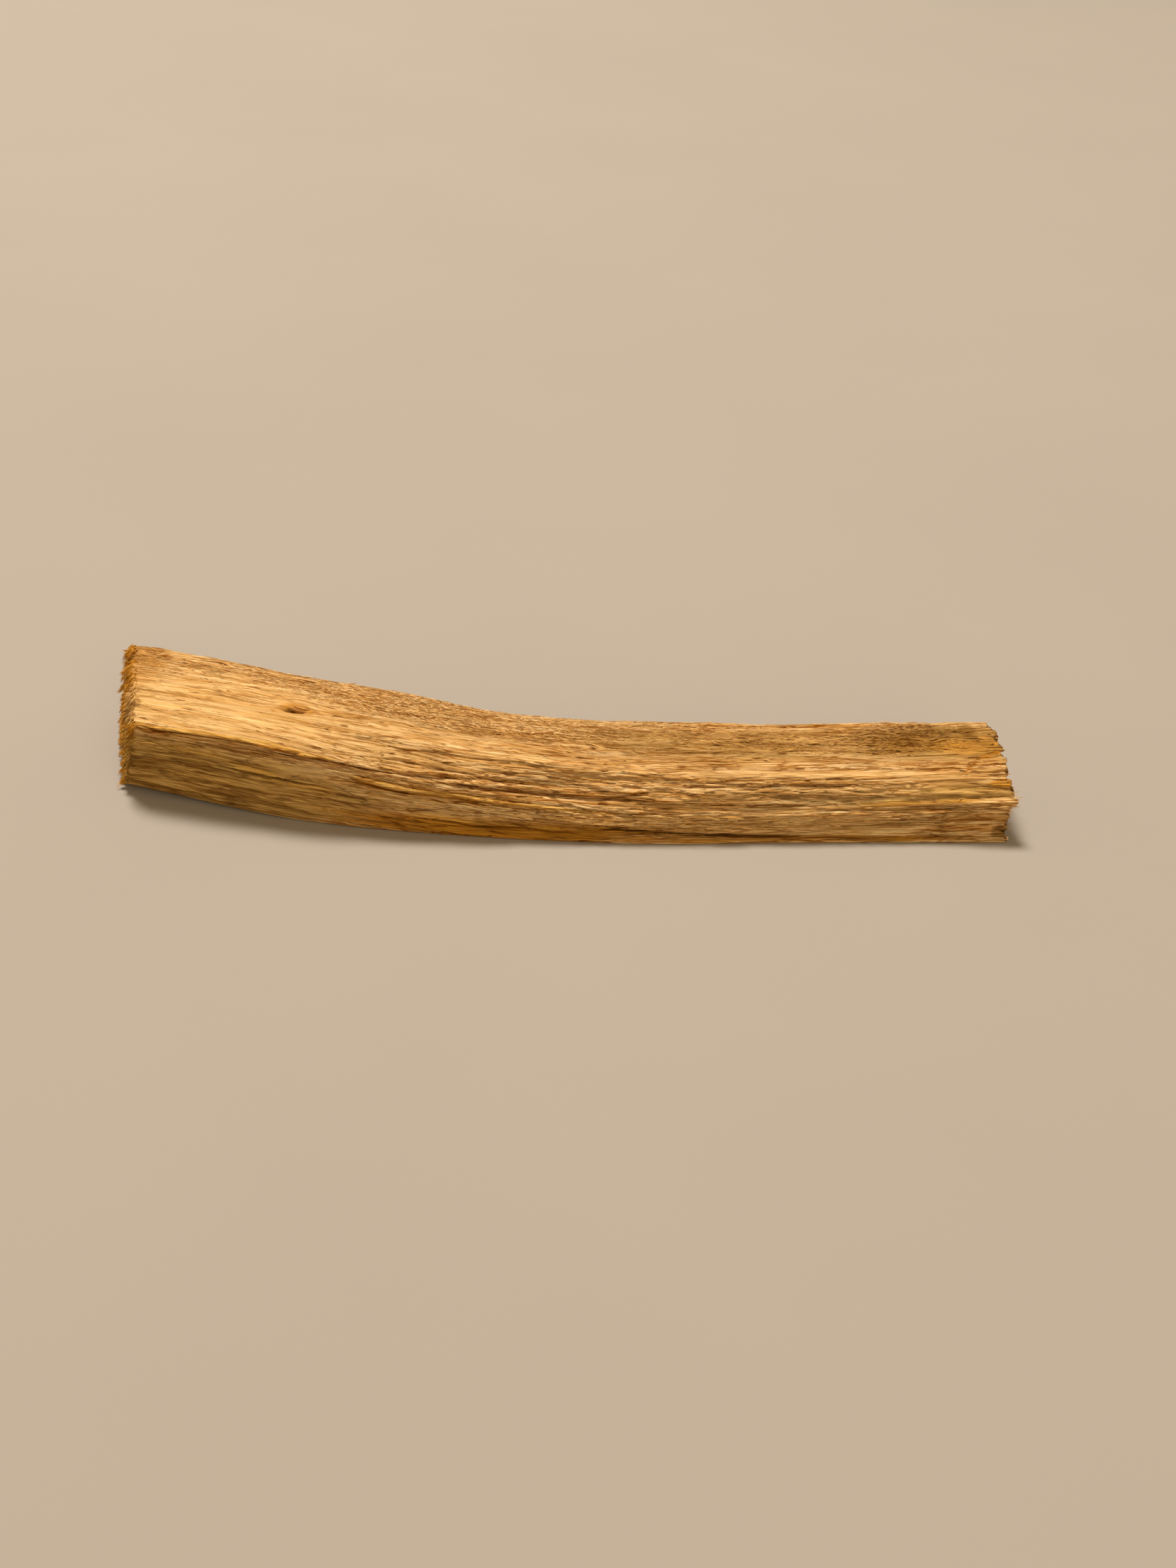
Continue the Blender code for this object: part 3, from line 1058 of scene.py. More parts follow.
@dataclass
class FibreBundle:
    """What places many fibres: the spine of each, its flat side, its size and its tones.

    The side that faces up is one direction for all of them, or one for each.
    """

    spines: Array
    up: Array | tuple[float, ...]
    width: Array
    thickness: Array
    tones: dict[str, Array]
    unbent: Array

    def mesh(self, name: str, template: FibreTemplate) -> Mesh:
        """Joins all the fibres in one mesh.

        Args:
            name: The mesh's name.
            template: The fibre that is repeated.

        Returns:
            The mesh, in metres, with what its material reads.
        """
        places, faces = template.shape()
        level = np.rint(places[:, 2] * template.lengths).astype(int)
        tangent = np.gradient(self.spines, axis=1)
        up = np.broadcast_to(self.up, (len(self.spines), 3))
        side = np.cross(tangent, up[:, None, :])
        side /= np.linalg.norm(side, axis=2)[:, :, None] + TINY
        lift = np.cross(side, tangent)
        lift /= np.linalg.norm(lift, axis=2)[:, :, None] + TINY
        wide = places[:, 0][None, :, None] * self.width[:, None, None]
        thick = places[:, 1][None, :, None] * self.thickness[:, None, None]
        points = self.spines[:, level] + side[:, level] * wide + lift[:, level] * thick
        points[:, :, 2] = np.maximum(points[:, :, 2], 0)
        joined = [
            tuple(corner + index * len(places) for corner in face)
            for index in range(len(self.spines)) for face in faces
        ]
        mesh = bpy.data.meshes.new(name)
        mesh.from_pydata((points.reshape(-1, 3) * MM).tolist(), [], joined)
        mesh.update()
        # The fibres get no painted hollow shade
        values = {"grain_place": self.unbent, "hollow": np.zeros(len(self.spines)), **self.tones}
        for value_name, value in values.items():
            store(mesh, value_name, np.repeat(value, len(places), axis=0))
        return mesh


@dataclass(kw_only=True)
class Fibres:
    """Many fibres that grow from the wood and are joined in one mesh."""

    surface: WoodSurface
    name: str
    seed: int
    template: FibreTemplate = FibreTemplate()

    def bundle(self, source: np.random.Generator) -> FibreBundle:
        """Works out where every fibre lies, from a source of random numbers."""
        raise NotImplementedError

    def build(self, material: Material) -> Object:
        """Builds the fibres in one mesh with the given finish."""
        bundle = self.bundle(np.random.default_rng(self.seed))
        return link(bundle.mesh(self.name, self.template), material)


@dataclass(kw_only=True)
class SurfaceSlivers(Fibres):
    """Slivers and fibres that lie along the grain and lift at one end."""

    kinds: tuple[tuple[Breakage, float], ...]
    elsewhere: float
    count: int
    length: Pair
    width: Pair
    thickness: Pair
    lift: Pair
    stray: float
    curl: float
    slant: float = 0.0
    sunk: float
    tries: int = 12
    tints: Pair = (0.1, 0.5)
    skin_tint: float = 0.5
    grain_stray: float = 0.15
    along_range: Pair = (-46.0, 49.0)
    share_range: Pair = (0.30, 0.985)
    end_margins: Pair = (0.2, 0.1)
    girth: float = 46.0
    backward_part: float = 0.35
    settling: float = 0.7

    def roots(self, source: np.random.Generator) -> tuple[Array, Array]:
        """Scatters the roots, closer together where the surface is broken up more.

        Args:
            source: The source of random numbers.

        Returns:
            The along and the share of each root.
        """
        tries = self.count * self.tries
        along = source.uniform(*self.along_range, tries)
        share = source.uniform(*self.share_range, tries)
        chance = np.full(tries, self.elsewhere)
        for kind, weight in self.kinds:
            chance += weight * strongest(BREAKAGE[kind], along, share)
        kept = np.flatnonzero(source.uniform(0, 1, tries) < chance)[:self.count]
        return along[kept], share[kept]

    def bundle(self, source: np.random.Generator) -> FibreBundle:
        """Works out where every sliver lies.

        Args:
            source: The source of random numbers.

        Returns:
            The slivers.
        """
        form = self.surface.form
        along, share = self.roots(source)
        count = len(along)
        steps = self.template.steps()
        chances = [self.backward_part, 1 - self.backward_part]
        length = source.uniform(*self.length, count) * source.choice([-1, 1], count, p=chances)
        stray = source.normal(0, self.stray, count) + self.slant
        curl = source.normal(0, self.curl, count)
        lift = self.lift[0] + source.uniform(0, 1, count) ** 2 * (self.lift[1] - self.lift[0])
        bend = stray[:, None] * steps + curl[:, None] * steps ** 2
        spine_share = share[:, None] + bend * length[:, None] / self.girth
        low = form.end_along(form.left, share)[:, None] + self.end_margins[0]
        high = form.end_along(form.right, share)[:, None] - self.end_margins[1]
        spine_along = np.clip(along[:, None] + length[:, None] * steps, low, high)
        places = self.surface.places(spine_along.ravel(), spine_share.ravel())
        rise, tint = self.surface.roughness.rise(places)
        rise = rise.reshape(count, -1)
        settled = rise * self.settling + rise.mean(axis=1, keepdims=True) * (1 - self.settling)
        raised = settled + lift[:, None] * steps ** 2 - self.sunk * (1 - steps)
        tones = self.surface.tones(along, share)
        root_tint = tint.reshape(count, -1)[:, 0]
        tones["tint"] = self.skin_tint * root_tint + source.uniform(*self.tints, count)
        strayed = places.unbent.reshape(count, -1, 3)[:, 0]
        strayed[:, 1:] += source.normal(0, self.grain_stray, (count, 2))
        return FibreBundle(
            spines=self.surface.points(places, raised.ravel()).reshape(count, -1, 3),
            up=self.surface.outward(along, share),
            width=source.uniform(*self.width, count) / 2,
            thickness=source.uniform(*self.thickness, count) / 2,
            tones=tones,
            unbent=strayed,
        )


@dataclass(kw_only=True)
class EndFibres(Fibres):
    """Fibres that stand on an end face, and where on it they stand and take their tones."""

    up: tuple[float, ...] = (0.0, 0.3, 1.0)
    root_spread: Pair
    crowding: float
    tone_along: float

    def outness(self, inward: Array) -> Array:
        """Turns numbers from 0 to 1 into how far out from the face's middle the roots are."""
        return self.root_spread[0] + self.root_spread[1] * inward


@dataclass(kw_only=True)
class CutBrush(EndFibres):
    """The brush of cut fibres that closes the left end, in tufts that droop to one side."""

    name: str = "cut_fibre_brush"
    seed: int = 11
    template: FibreTemplate = FibreTemplate(root=1.0, tip=0.3)
    root_spread: Pair = (0.12, 0.84)
    crowding: float = 1.6
    tone_along: float = -46.0
    tufts: int = 430
    fibres: int = 13
    tuft_radius: float = 0.17
    rim_tufts: int = 130
    rim_overlap: Pair = (0.1, 0.5)
    overlap: float = 0.15
    length: Pair = (0.35, 1.0)
    fibre_length: Pair = (0.65, 1.1)
    thickness: Pair = (0.06, 0.13)
    gather: float = 0.6
    droop: Pair = (-0.12, -0.55)
    tuft_stray: float = 0.26
    stray: float = 0.10
    curl: float = 0.5
    tuft_tints: Pair = (0.1, 0.9)
    tuft_tint_part: float = 0.6

    def tuft_roots(self, source: np.random.Generator) -> tuple[Array, Array]:
        """Spreads the tufts over the cut, closer together near its rim.

        Args:
            source: The source of random numbers.

        Returns:
            The share and the (across, up) place of each tuft.
        """
        form = self.surface.form
        share = source.uniform(0, 1, self.tufts)
        inward = 1 - source.uniform(0, 1, self.tufts) ** self.crowding
        inward[:self.rim_tufts] = 1.0
        return share, form.on_end(form.left, share, self.outness(inward))

    def bundle(self, source: np.random.Generator) -> FibreBundle:
        """Works out where every cut fibre stands.

        Args:
            source: The source of random numbers.

        Returns:
            The fibres.
        """
        form = self.surface.form
        share, middles = self.tuft_roots(source)
        count = self.tufts * self.fibres
        tuft = np.repeat(np.arange(self.tufts), self.fibres)
        offset = source.normal(0, self.tuft_radius, (count, 2))
        root = middles[tuft] + offset
        along = form.left.reach(*root.T)
        steps = self.template.steps()[None, :, None]
        tuft_length = source.uniform(*self.length, self.tufts)
        overlap = source.uniform(*self.rim_overlap, self.tufts)
        overlap[self.rim_tufts:] = self.overlap
        extra = overlap[tuft] - self.overlap
        length = tuft_length[tuft] * source.uniform(*self.fibre_length, count) + extra
        tuft_lean = source.normal(0, self.tuft_stray, (self.tufts, 2)) + self.droop
        lean = tuft_lean[tuft] + source.normal(0, self.stray, (count, 2))
        curl = self.curl * tuft_lean[tuft] + source.normal(0, self.stray, (count, 2))
        gathered = -offset * self.gather / length[:, None]
        start = np.column_stack([along + overlap[tuft], root])[:, None, :]
        straight = np.column_stack([-np.ones(count), lean + gathered])[:, None, :]
        bent = np.column_stack([np.zeros(count), curl])[:, None, :]
        spines = start + length[:, None, None] * (straight * steps + bent * steps ** 2)
        tones = self.surface.tones(np.full(count, self.tone_along), share[tuft])
        tuft_tint = source.uniform(*self.tuft_tints, self.tufts)[tuft]
        fibre_tint = source.uniform(0, 1 - self.tuft_tint_part, count)
        tones["tint"] = tuft_tint * self.tuft_tint_part + fibre_tint
        width = source.uniform(*self.thickness, count) / 2
        thickness = source.uniform(*self.thickness, count) / 2
        return FibreBundle(spines, self.up, width, thickness, tones, form.unbent(along, root))


@dataclass(kw_only=True)
class BreakSplinters(EndFibres):
    """The broken ends of fibre bundles round the right end, and a few loose hairs."""

    name: str = "break_splinters"
    seed: int = 23
    template: FibreTemplate = FibreTemplate(tip=0.45)
    root_spread: Pair = (0.15, 0.78)
    crowding: float = 2.0
    tone_along: float = 50.0
    count: int = 520
    length: Pair = (0.9, 1.9)
    width: Pair = (0.14, 0.36)
    flatness: Pair = (0.6, 1.0)
    overhang: Pair = (-0.2, 0.28)
    stray: float = 0.05
    hairs: int = 26
    hair_length: Pair = (1.2, 2.6)
    hair_width: float = 0.035
    hair_overhang: Pair = (0.3, 0.9)
    hair_shares: Pair = (0.80, 0.97)
    hair_stray: float = 0.16

    def bundle(self, source: np.random.Generator) -> FibreBundle:
        """Works out where every splinter stands.

        Args:
            source: The source of random numbers.

        Returns:
            The splinters, and the hairs after them.
        """
        form = self.surface.form
        count = self.count + self.hairs
        hair = np.arange(count) >= self.count

        def either(of_hair: Pair, of_splinter: Pair) -> Array:
            """Draws a number for each, from the hairs' range or from the splinters'."""
            return np.where(hair, source.uniform(*of_hair, count), source.uniform(*of_splinter, count))

        share = either(self.hair_shares, (0, 1))
        inward = 1 - source.uniform(0, 1, count) ** self.crowding * ~hair
        root = form.on_end(form.right, share, self.outness(inward))
        along = form.right.reach(*root.T)
        length = either(self.hair_length, self.length)
        stray = np.where(hair, self.hair_stray, self.stray)[:, None]
        lean = source.normal(0, 1, (count, 2)) * stray
        tip = either(self.hair_overhang, self.overhang)
        start = np.column_stack([along + tip - length, root])[:, None, :]
        straight = np.column_stack([np.ones(count), lean])[:, None, :]
        spines = start + length[:, None, None] * straight * self.template.steps()[None, :, None]
        tones = self.surface.tones(np.full(count, self.tone_along), share)
        tones["tint"] = source.uniform(0, 1, count)
        width = np.where(hair, self.hair_width, source.uniform(*self.width, count) / 2)
        thickness = width * source.uniform(*self.flatness, count)
        return FibreBundle(spines, self.up, width, thickness, tones, form.unbent(along, root))


class Wiring:
    """Adds and joins the nodes of one node tree. A source is a socket or a plain value."""

    def __init__(self, tree: NodeTree) -> None:
        """Keeps the tree that the nodes go in."""
        self.tree = tree

    def feed(self, socket: Socket, source: Source) -> None:
        """Joins a socket to another one, or sets it to a plain value.

        Args:
            socket: The input.
            source: What feeds it. A colour's alpha may be left out.
        """
        if isinstance(source, Socket):
            self.tree.links.new(source, socket)
        elif socket.type == "RGBA":
            socket.default_value = (*source[:3], 1.0)
        else:
            socket.default_value = source

    def node(self, kind: str, inputs: dict[str | int, Source], **settings: object) -> Node:
        """Adds a shader node.

        Args:
            kind: The node's type, without the words that all of them start with.
            inputs: What feeds each input, by its name or its number.
            settings: The node's properties.

        Returns:
            The node.
        """
        node = self.tree.nodes.new("ShaderNode" + kind)
        for name, value in settings.items():
            setattr(node, name, value)
        for key, source in inputs.items():
            self.feed(node.inputs[key], source)
        return node

    def maths(self, operation: str, *sources: Source) -> Socket:
        """Works out a number from others."""
        return self.node("Math", dict(enumerate(sources)), operation=operation).outputs[0]

    def vectors(self, operation: str, *sources: Source, output: str = "Vector") -> Socket:
        """Works out a vector, or its value, from others."""
        node = self.node("VectorMath", dict(enumerate(sources)), operation=operation)
        return node.outputs[output]

    def product(self, *factors: Source) -> Socket:
        """Multiplies two numbers."""
        return self.maths("MULTIPLY", *factors)

    def total(self, *parts: tuple[Source, float]) -> Socket:
        """Adds up values, each times its weight."""
        return reduce(lambda so_far, part: self.maths("MULTIPLY_ADD", *part, so_far), parts, 0.0)

    def greatest(self, *values: Source) -> Socket:
        """Finds the greatest of some values."""
        return reduce(lambda so_far, value: self.maths("MAXIMUM", so_far, value), values)

    def combined(self, along: Source, across: Source) -> Socket:
        """Makes a vector with one number along the grain and another across it, twice."""
        return self.node("CombineXYZ", {0: along, 1: across, 2: across}).outputs[0]

    def scaled(self, place: Source, along: Source, across: Source) -> Socket:
        """Divides a place by the spacing along the grain and across it."""
        return self.vectors("DIVIDE", place, self.combined(along, across))

    def noise(self, place: Source, detail: float, roughness: float, output: str = "Fac") -> Socket:
        """Reads a noise texture at a place."""
        inputs = {"Vector": place, "Scale": 1, "Detail": detail, "Roughness": roughness}
        return self.node("TexNoise", inputs).outputs[output]

    def grained(self, place: Source, size: tuple[float, ...]) -> Socket:
        """Reads noise along the grain, with the given length, width, detail and roughness."""
        return self.noise(self.scaled(place, *size[:2]), *size[2:])

    def cells(self, place: Source, feature: str) -> Node:
        """Adds a cell texture on a place, for the cells themselves or for their edges."""
        return self.node("TexVoronoi", {"Vector": place, "Scale": 1}, feature=feature)

    def mapped(
        self, value: Source, low: float, high: float, to_low: Source = 0.0, to_high: Source = 1.0,
    ) -> Socket:
        """Maps a range of values smoothly to another, and holds it there."""
        inputs = dict(enumerate((value, low, high, to_low, to_high)))
        return self.node("MapRange", inputs, interpolation_type="SMOOTHSTEP").outputs[0]

    def faded(self, mask: Source, none: Source, full: Source) -> Socket:
        """Turns a mask from 0 to 1 smoothly into the value that goes with it."""
        return self.mapped(mask, 0, 1, none, full)

    def between(self, factor: Source, first: Source, second: Source) -> Socket:
        """Mixes two values by a factor."""
        return self.node("Mix", {0: factor, 2: first, 3: second}, data_type="FLOAT").outputs[0]

    def mix(self, factor: Source, first: Source, second: Source, blend: str = "MIX") -> Socket:
        """Mixes two colours by a factor."""
        inputs = {0: factor, 6: first, 7: second}
        return self.node("Mix", inputs, data_type="RGBA", blend_type=blend).outputs[2]

    def shaded(self, colour: Source, amount: Source) -> Socket:
        """Multiplies a colour by an amount."""
        return self.node("VectorMath", {0: colour, "Scale": amount}, operation="SCALE").outputs[0]

    def attribute(self, name: str, output: str = "Fac") -> Socket:
        """Reads what a mesh stores for each vertex."""
        return self.node("Attribute", {}, attribute_name=name).outputs[output]


@dataclass(frozen=True)
class PackedFibres:
    """The shader group that packs fibres side by side, with a tone for each and gaps between.

    The fibres waver by the stray, in waves that are some lengths long and some widths wide. The
    noise of the waves has a detail and a roughness.
    """

    name: str = "packed_fibres"
    inputs: tuple[str, ...] = ("Place", "Length", "Width", "Stray", "Gap Width")
    outputs: tuple[str, ...] = ("Tone", "Round", "Lean", "Gap")
    wave_length: float = 0.6
    wave_width: float = 5.0
    wave_noise: Pair = (1, 0.5)
    rounding: float = 0.35
    gap_edge: float = 0.35

    def build(self) -> NodeTree:
        """Makes the group and wires it.

        Returns:
            The finished group.
        """
        tree = bpy.data.node_groups.new(self.name, "ShaderNodeTree")
        sides = {"INPUT": self.inputs, "OUTPUT": self.outputs}
        for side, names in sides.items():
            for name in names:
                kind = "NodeSocketVector" if name == "Place" else "NodeSocketFloat"
                tree.interface.new_socket(name=name, in_out=side, socket_type=kind)
            tree.nodes.new(f"NodeGroup{side.title()}")
        wiring = Wiring(tree)
        place, length, width, stray, gap_width = tree.nodes["Group Input"].outputs[:5]
        far, wide = wiring.product(length, self.wave_length), wiring.product(width, self.wave_width)
        wave = wiring.noise(wiring.scaled(place, far, wide), *self.wave_noise, "Color")
        centred = wiring.vectors("SUBTRACT", wave, (NOISE_MIDDLE,) * 3)
        strayed = wiring.vectors("MULTIPLY_ADD", centred, wiring.combined(0.0, stray), place)
        scaled = wiring.scaled(strayed, length, width)
        cell = wiring.cells(scaled, "F1")
        away = wiring.vectors("SUBTRACT", cell.outputs["Position"], scaled)
        edge = wiring.cells(scaled, "DISTANCE_TO_EDGE").outputs["Distance"]
        apart = wiring.maths("DIVIDE", wiring.product(edge, width), gap_width)
        results = (
            wiring.node("SeparateColor", {0: cell.outputs["Color"]}).outputs[0],
            wiring.mapped(edge, 0.0, self.rounding),
            wiring.vectors("DOT_PRODUCT", away, (0.0, 1.0, 1.0), output="Value"),
            wiring.mapped(apart, self.gap_edge, 1.0, 1.0, 0.0),
        )
        for socket, result in zip(tree.nodes["Group Output"].inputs, results):
            wiring.feed(socket, result)
        return tree


@dataclass(frozen=True)
class WoodFinish:
    """The colours, the fibres and the roughness of one kind of surface of the wood.

    Bundles, strands, hairs and wool each have a length, a width, a stray and a gap. Clouds,
    streaks and fissures each have a length, a width, a detail and a roughness. Each tone over the
    plain wood has its colour and the most that it covers. A pair that isn't a range holds what
    applies where a mask is 0 and where it is 1.
    """

    name: str
    light: Colour = (0.86, 0.64, 0.355)
    dark: Colour = (0.71, 0.435, 0.16)
    layers: tuple[tuple[Tone, Colour, float], ...] = (
        (Tone.GOLDEN, (0.79, 0.55, 0.26), 0.7),
        (Tone.WEATHERED_AND_SHADE, (0.41, 0.25, 0.068), 0.85),
        (Tone.UMBER_AND_SHADE, (0.38, 0.170, 0.012), 0.95),
        (Tone.MUSTARD_AND_HIGHLIGHT, (0.78, 0.49, 0.11), 0.75),
        (Tone.AMBER, (0.58, 0.27, 0.026), 0.85),
        (Tone.STAINED_AND_SHADE, (0.25, 0.130, 0.028), 0.88),
    )
    # Painted shade in the gaps between fibres and in the fissures, and how strong it is
    gap: Colour = (0.32, 0.165, 0.025)
    gap_shade_strength: float = 0.9
    # Painted shade in the hollows of the relief, and how strong it is
    hollow: Colour = (0.46, 0.235, 0.04)
    hollow_shade_strength: float = 0.64
    warm_line: Colour = (1.0, 0.78, 0.42)
    warmth: float = 0.6
    bundle: tuple[float, ...] = (11.0, 0.75, 0.45, 0.055)
    strand: tuple[float, ...] = (5.0, 0.30, 0.22, 0.035)
    hair: tuple[float, ...] = (2.6, 0.16, 0.10, 0.03)
    wool: tuple[float, ...] = (1.3, 0.17, 0.30, 0.05)
    fissure: tuple[float, ...] = (7.0, 0.6, 2, 0.5)
    fissure_width: float = 0.026
    fissure_presence: tuple[float, ...] = (4.0, 1.4, 1, 0.5)
    presence_range: Pair = (0.45, 0.60)
    cloud: tuple[float, ...] = (11.0, 2.4, 2, 0.55)
    streak: tuple[float, ...] = (9.0, 0.40, 3, 0.6)
    mottle_range: Pair = (0.3, 0.7)
    roughness: Pair = (0.9, 0.7)
    bump: float = 1.0
    bundle_relief: tuple[float, ...] = (0.05, 0.08, 0.14)
    near_relief: tuple[float, ...] = (0.05, 0.06, 0.11)
    hair_relief: tuple[float, ...] = (0.03,)
    fissure_relief: float = -0.15
    smooth_relief: Pair = (1.0, 0.4)
    # Weights of the clouds, streaks, tint, bundle roundness, bundle tone, near roundness and near tone;
    # the roundness weights paint light and shade on the fibres
    tone_weights: tuple[float, ...] = (0.16, 0.18, 0.1, 0.13, 0.09, 0.18, 0.16)
    tone_range: Pair = (0.10, 0.80)
    even_tone: float = 0.5
    smooth_evenness: Pair = (0.0, 0.5)
    mottle: float = 0.6
    patch_weights: tuple[float, ...] = (1.25, 0.6, 0.35, -0.75)
    patch_edge: float = 0.3
    line_weights: tuple[float, ...] = (0.5, 0.3, 0.2)
    line_range: Pair = (0.25, 0.75)
    warm_range: Pair = (0.25, 0.70)
    dark_lines: Pair = (0.90, 0.60)
    light_lines: Pair = (1.10, 1.40)
    # How strong the painted gap shade is by the streaks, the clouds and the wool, on hairs, on smooth
    # wood, and where weathering lies away from wool
    wide_gaps: Pair = (1.0, 0.2)
    wide_range: Pair = (0.4, 0.6)
    narrow_gaps: float = 0.9
    narrow_range: Pair = (0.35, 0.65)
    least_gaps: Pair = (0.3, 0.85)
    thin_gaps: float = 0.3
    smooth_gaps: float = 0.5
    worn_gaps: float = 0.6
    # How much of the painted hollow shade lies where the wood is not torn
    untorn_hollow_shade: float = 0.5
    tint_shades: Pair = (0.88, 1.12)

    def material(self, fibres: NodeTree) -> Material:
        """Makes the material.

        Args:
            fibres: The group that packs fibres side by side.

        Returns:
            The material.
        """
        material = bpy.data.materials.new(self.name)
        material.use_nodes = True
        shader = material.node_tree.nodes["Principled BSDF"]
        wood = WoodShading(material.node_tree, self, fibres)
        wood.feed(shader.inputs["Base Color"], wood.colour())
        wood.feed(shader.inputs["Roughness"], wood.faded(wood.near["Tone"], *self.roughness))
        shader.inputs["Specular IOR Level"].default_value = 0.0
        bump = wood.node("Bump", {"Distance": self.bump * MM, "Height": wood.height()})
        wood.feed(shader.inputs["Normal"], bump.outputs[0])
        return material


class WoodShading(Wiring):
    """The nodes of one finish of the wood: its fibres, its fissures, its masks and its colour."""

    def __init__(self, tree: NodeTree, finish: WoodFinish, fibres: NodeTree) -> None:
        """Adds what the colour and the relief both read.

        Args:
            tree: The material's node tree.
            finish: The colours and the sizes.
            fibres: The group that packs fibres side by side.
        """
        super().__init__(tree)
        self.finish = finish
        self.place = self.attribute("grain_place", "Vector")
        self.tint = self.attribute("tint")
        self.mask = {kind: self.attribute(kind.value) for kind in (*Tone, *Breakage)}
        sizes = (finish.bundle, finish.strand, finish.wool, finish.hair)
        self.bundle, strand, wool, self.hair = (self.packed(fibres, size) for size in sizes)
        woolly = self.mask[Breakage.WOOLLY]
        self.near = {name: self.between(woolly, strand[name], wool[name]) for name in strand}
        self.fissure = self.fissures()
        self.cloud = self.grained(self.place, finish.cloud)
        self.streak = self.grained(self.place, finish.streak)
        self.clouded = self.mapped(self.cloud, *finish.mottle_range)
        self.streaked = self.mapped(self.streak, *finish.mottle_range)

    def packed(self, fibres: NodeTree, size: tuple[float, ...]) -> dict[str, Socket]:
        """Places the group of packed fibres, with the given length, width, stray and gap."""
        node = self.node("Group", dict(enumerate((self.place, *size))), node_tree=fibres)
        return {socket.name: socket for socket in node.outputs}

    def fissures(self) -> Socket:
        """Draws thin, wandering fissures along the grain.

        Returns:
            How deep in a fissure each place is, from 0 to 1.
        """
        finish = self.finish
        line = self.maths("SUBTRACT", self.grained(self.place, finish.fissure), NOISE_MIDDLE)
        narrow = self.mapped(self.maths("ABSOLUTE", line), 0.0, finish.fissure_width, 1.0, 0.0)
        come_and_go = self.grained(self.place, finish.fissure_presence)
        return self.product(narrow, self.mapped(come_and_go, *finish.presence_range))

    def height(self) -> Socket:
        """Adds up the relief of the fibres and the fissures.

        Returns:
            The height for the bump, lower where the wood is smooth.
        """
        finish = self.finish
        layers = (
            (self.bundle, finish.bundle_relief),
            (self.near, finish.near_relief),
            (self.hair, finish.hair_relief),
        )
        parts = [
            (layer[name], weight)
            for layer, weights in layers for name, weight in zip(("Round", "Tone", "Lean"), weights)
        ]
        height = self.total(*parts, (self.fissure, finish.fissure_relief))
        return self.product(height, self.faded(self.mask[Breakage.SMOOTH], *finish.smooth_relief))

    def ground(self) -> Socket:
        """Mixes the light and the dark of the plain wood, with painted light on fibre tops and painted
        shade at their edges.

        Returns:
            The colour under all tones.
        """
        finish = self.finish
        # The fibres' roundness paints their tops lighter and their edges darker, as light and shade; the
        # other values are the wood's own tone
        values = (
            self.clouded, self.streaked, self.tint, self.bundle["Round"], self.bundle["Tone"],
            self.near["Round"], self.near["Tone"],
        )
        tone = self.mapped(self.total(*zip(values, finish.tone_weights)), *finish.tone_range)
        even = self.faded(self.mask[Breakage.SMOOTH], *finish.smooth_evenness)
        return self.mix(self.between(even, tone, finish.even_tone), finish.dark, finish.light)

    def layered(self, colour: Socket) -> Socket:
        """Lays the tones over the plain wood, each in patches that follow the fibres.

        Args:
            colour: The plain wood.

        Returns:
            The colour with the tones over it.
        """
        finish = self.finish
        mottle = self.between(finish.mottle, self.clouded, self.streaked)
        for kind, over, most in finish.layers:
            amount = self.mask[kind]
            values = (amount, mottle, self.near["Tone"], 1.0)
            spread = self.faded(self.total(*zip(values, finish.patch_weights)), 0.0, most)
            spread = self.product(spread, self.mapped(amount, 0.0, finish.patch_edge))
            colour = self.mix(spread, colour, over)
        return colour

    def lined(self, colour: Socket) -> Socket:
        """Draws lighter and darker lines along the grain, stronger on dull wood.

        Args:
            colour: The wood without its lines.

        Returns:
            The colour with them.
        """
        finish = self.finish
        values = (self.streaked, self.near["Tone"], self.bundle["Tone"])
        line = self.total(*zip(values, finish.line_weights))
        dull = self.greatest(*(self.mask[tone] for tone in (Tone.WEATHERED_AND_SHADE, Tone.UMBER_AND_SHADE, Tone.STAINED_AND_SHADE)))
        darkest, lightest = (self.faded(dull, *ends) for ends in (finish.dark_lines, finish.light_lines))
        colour = self.shaded(colour, self.mapped(line, *finish.line_range, darkest, lightest))
        warm = self.mapped(line, *finish.warm_range, finish.warmth, 0.0)
        return self.mix(warm, colour, finish.warm_line, "MULTIPLY")

    def shade_gaps(self, colour: Socket) -> Socket:
        """Paints shade in the gaps between fibres and in the fissures.

        Args:
            colour: The wood without the painted shade in its gaps.

        Returns:
            The colour with them.
        """
        finish = self.finish
        woolly = self.mask[Breakage.WOOLLY]
        least = self.faded(woolly, *finish.least_gaps)
        wide = self.mapped(self.streak, *finish.wide_range, *finish.wide_gaps)
        narrow = self.mapped(self.cloud, *finish.narrow_range, finish.narrow_gaps, least)
        gap = self.greatest(
            self.product(self.bundle["Gap"], wide),
            self.product(self.near["Gap"], narrow),
            self.product(self.hair["Gap"], finish.thin_gaps),
            self.fissure,
        )
        full = finish.gap_shade_strength
        strength = self.faded(self.mask[Breakage.SMOOTH], full, full * finish.smooth_gaps)
        # Less painted gap shade where the tone of weathering lies away from wool
        worn = self.product(self.mask[Tone.WEATHERED_AND_SHADE], self.faded(woolly, 1.0, 0.0))
        strength = self.product(strength, self.faded(worn, 1.0, finish.worn_gaps))
        return self.mix(self.product(gap, strength), colour, finish.gap, "MULTIPLY")

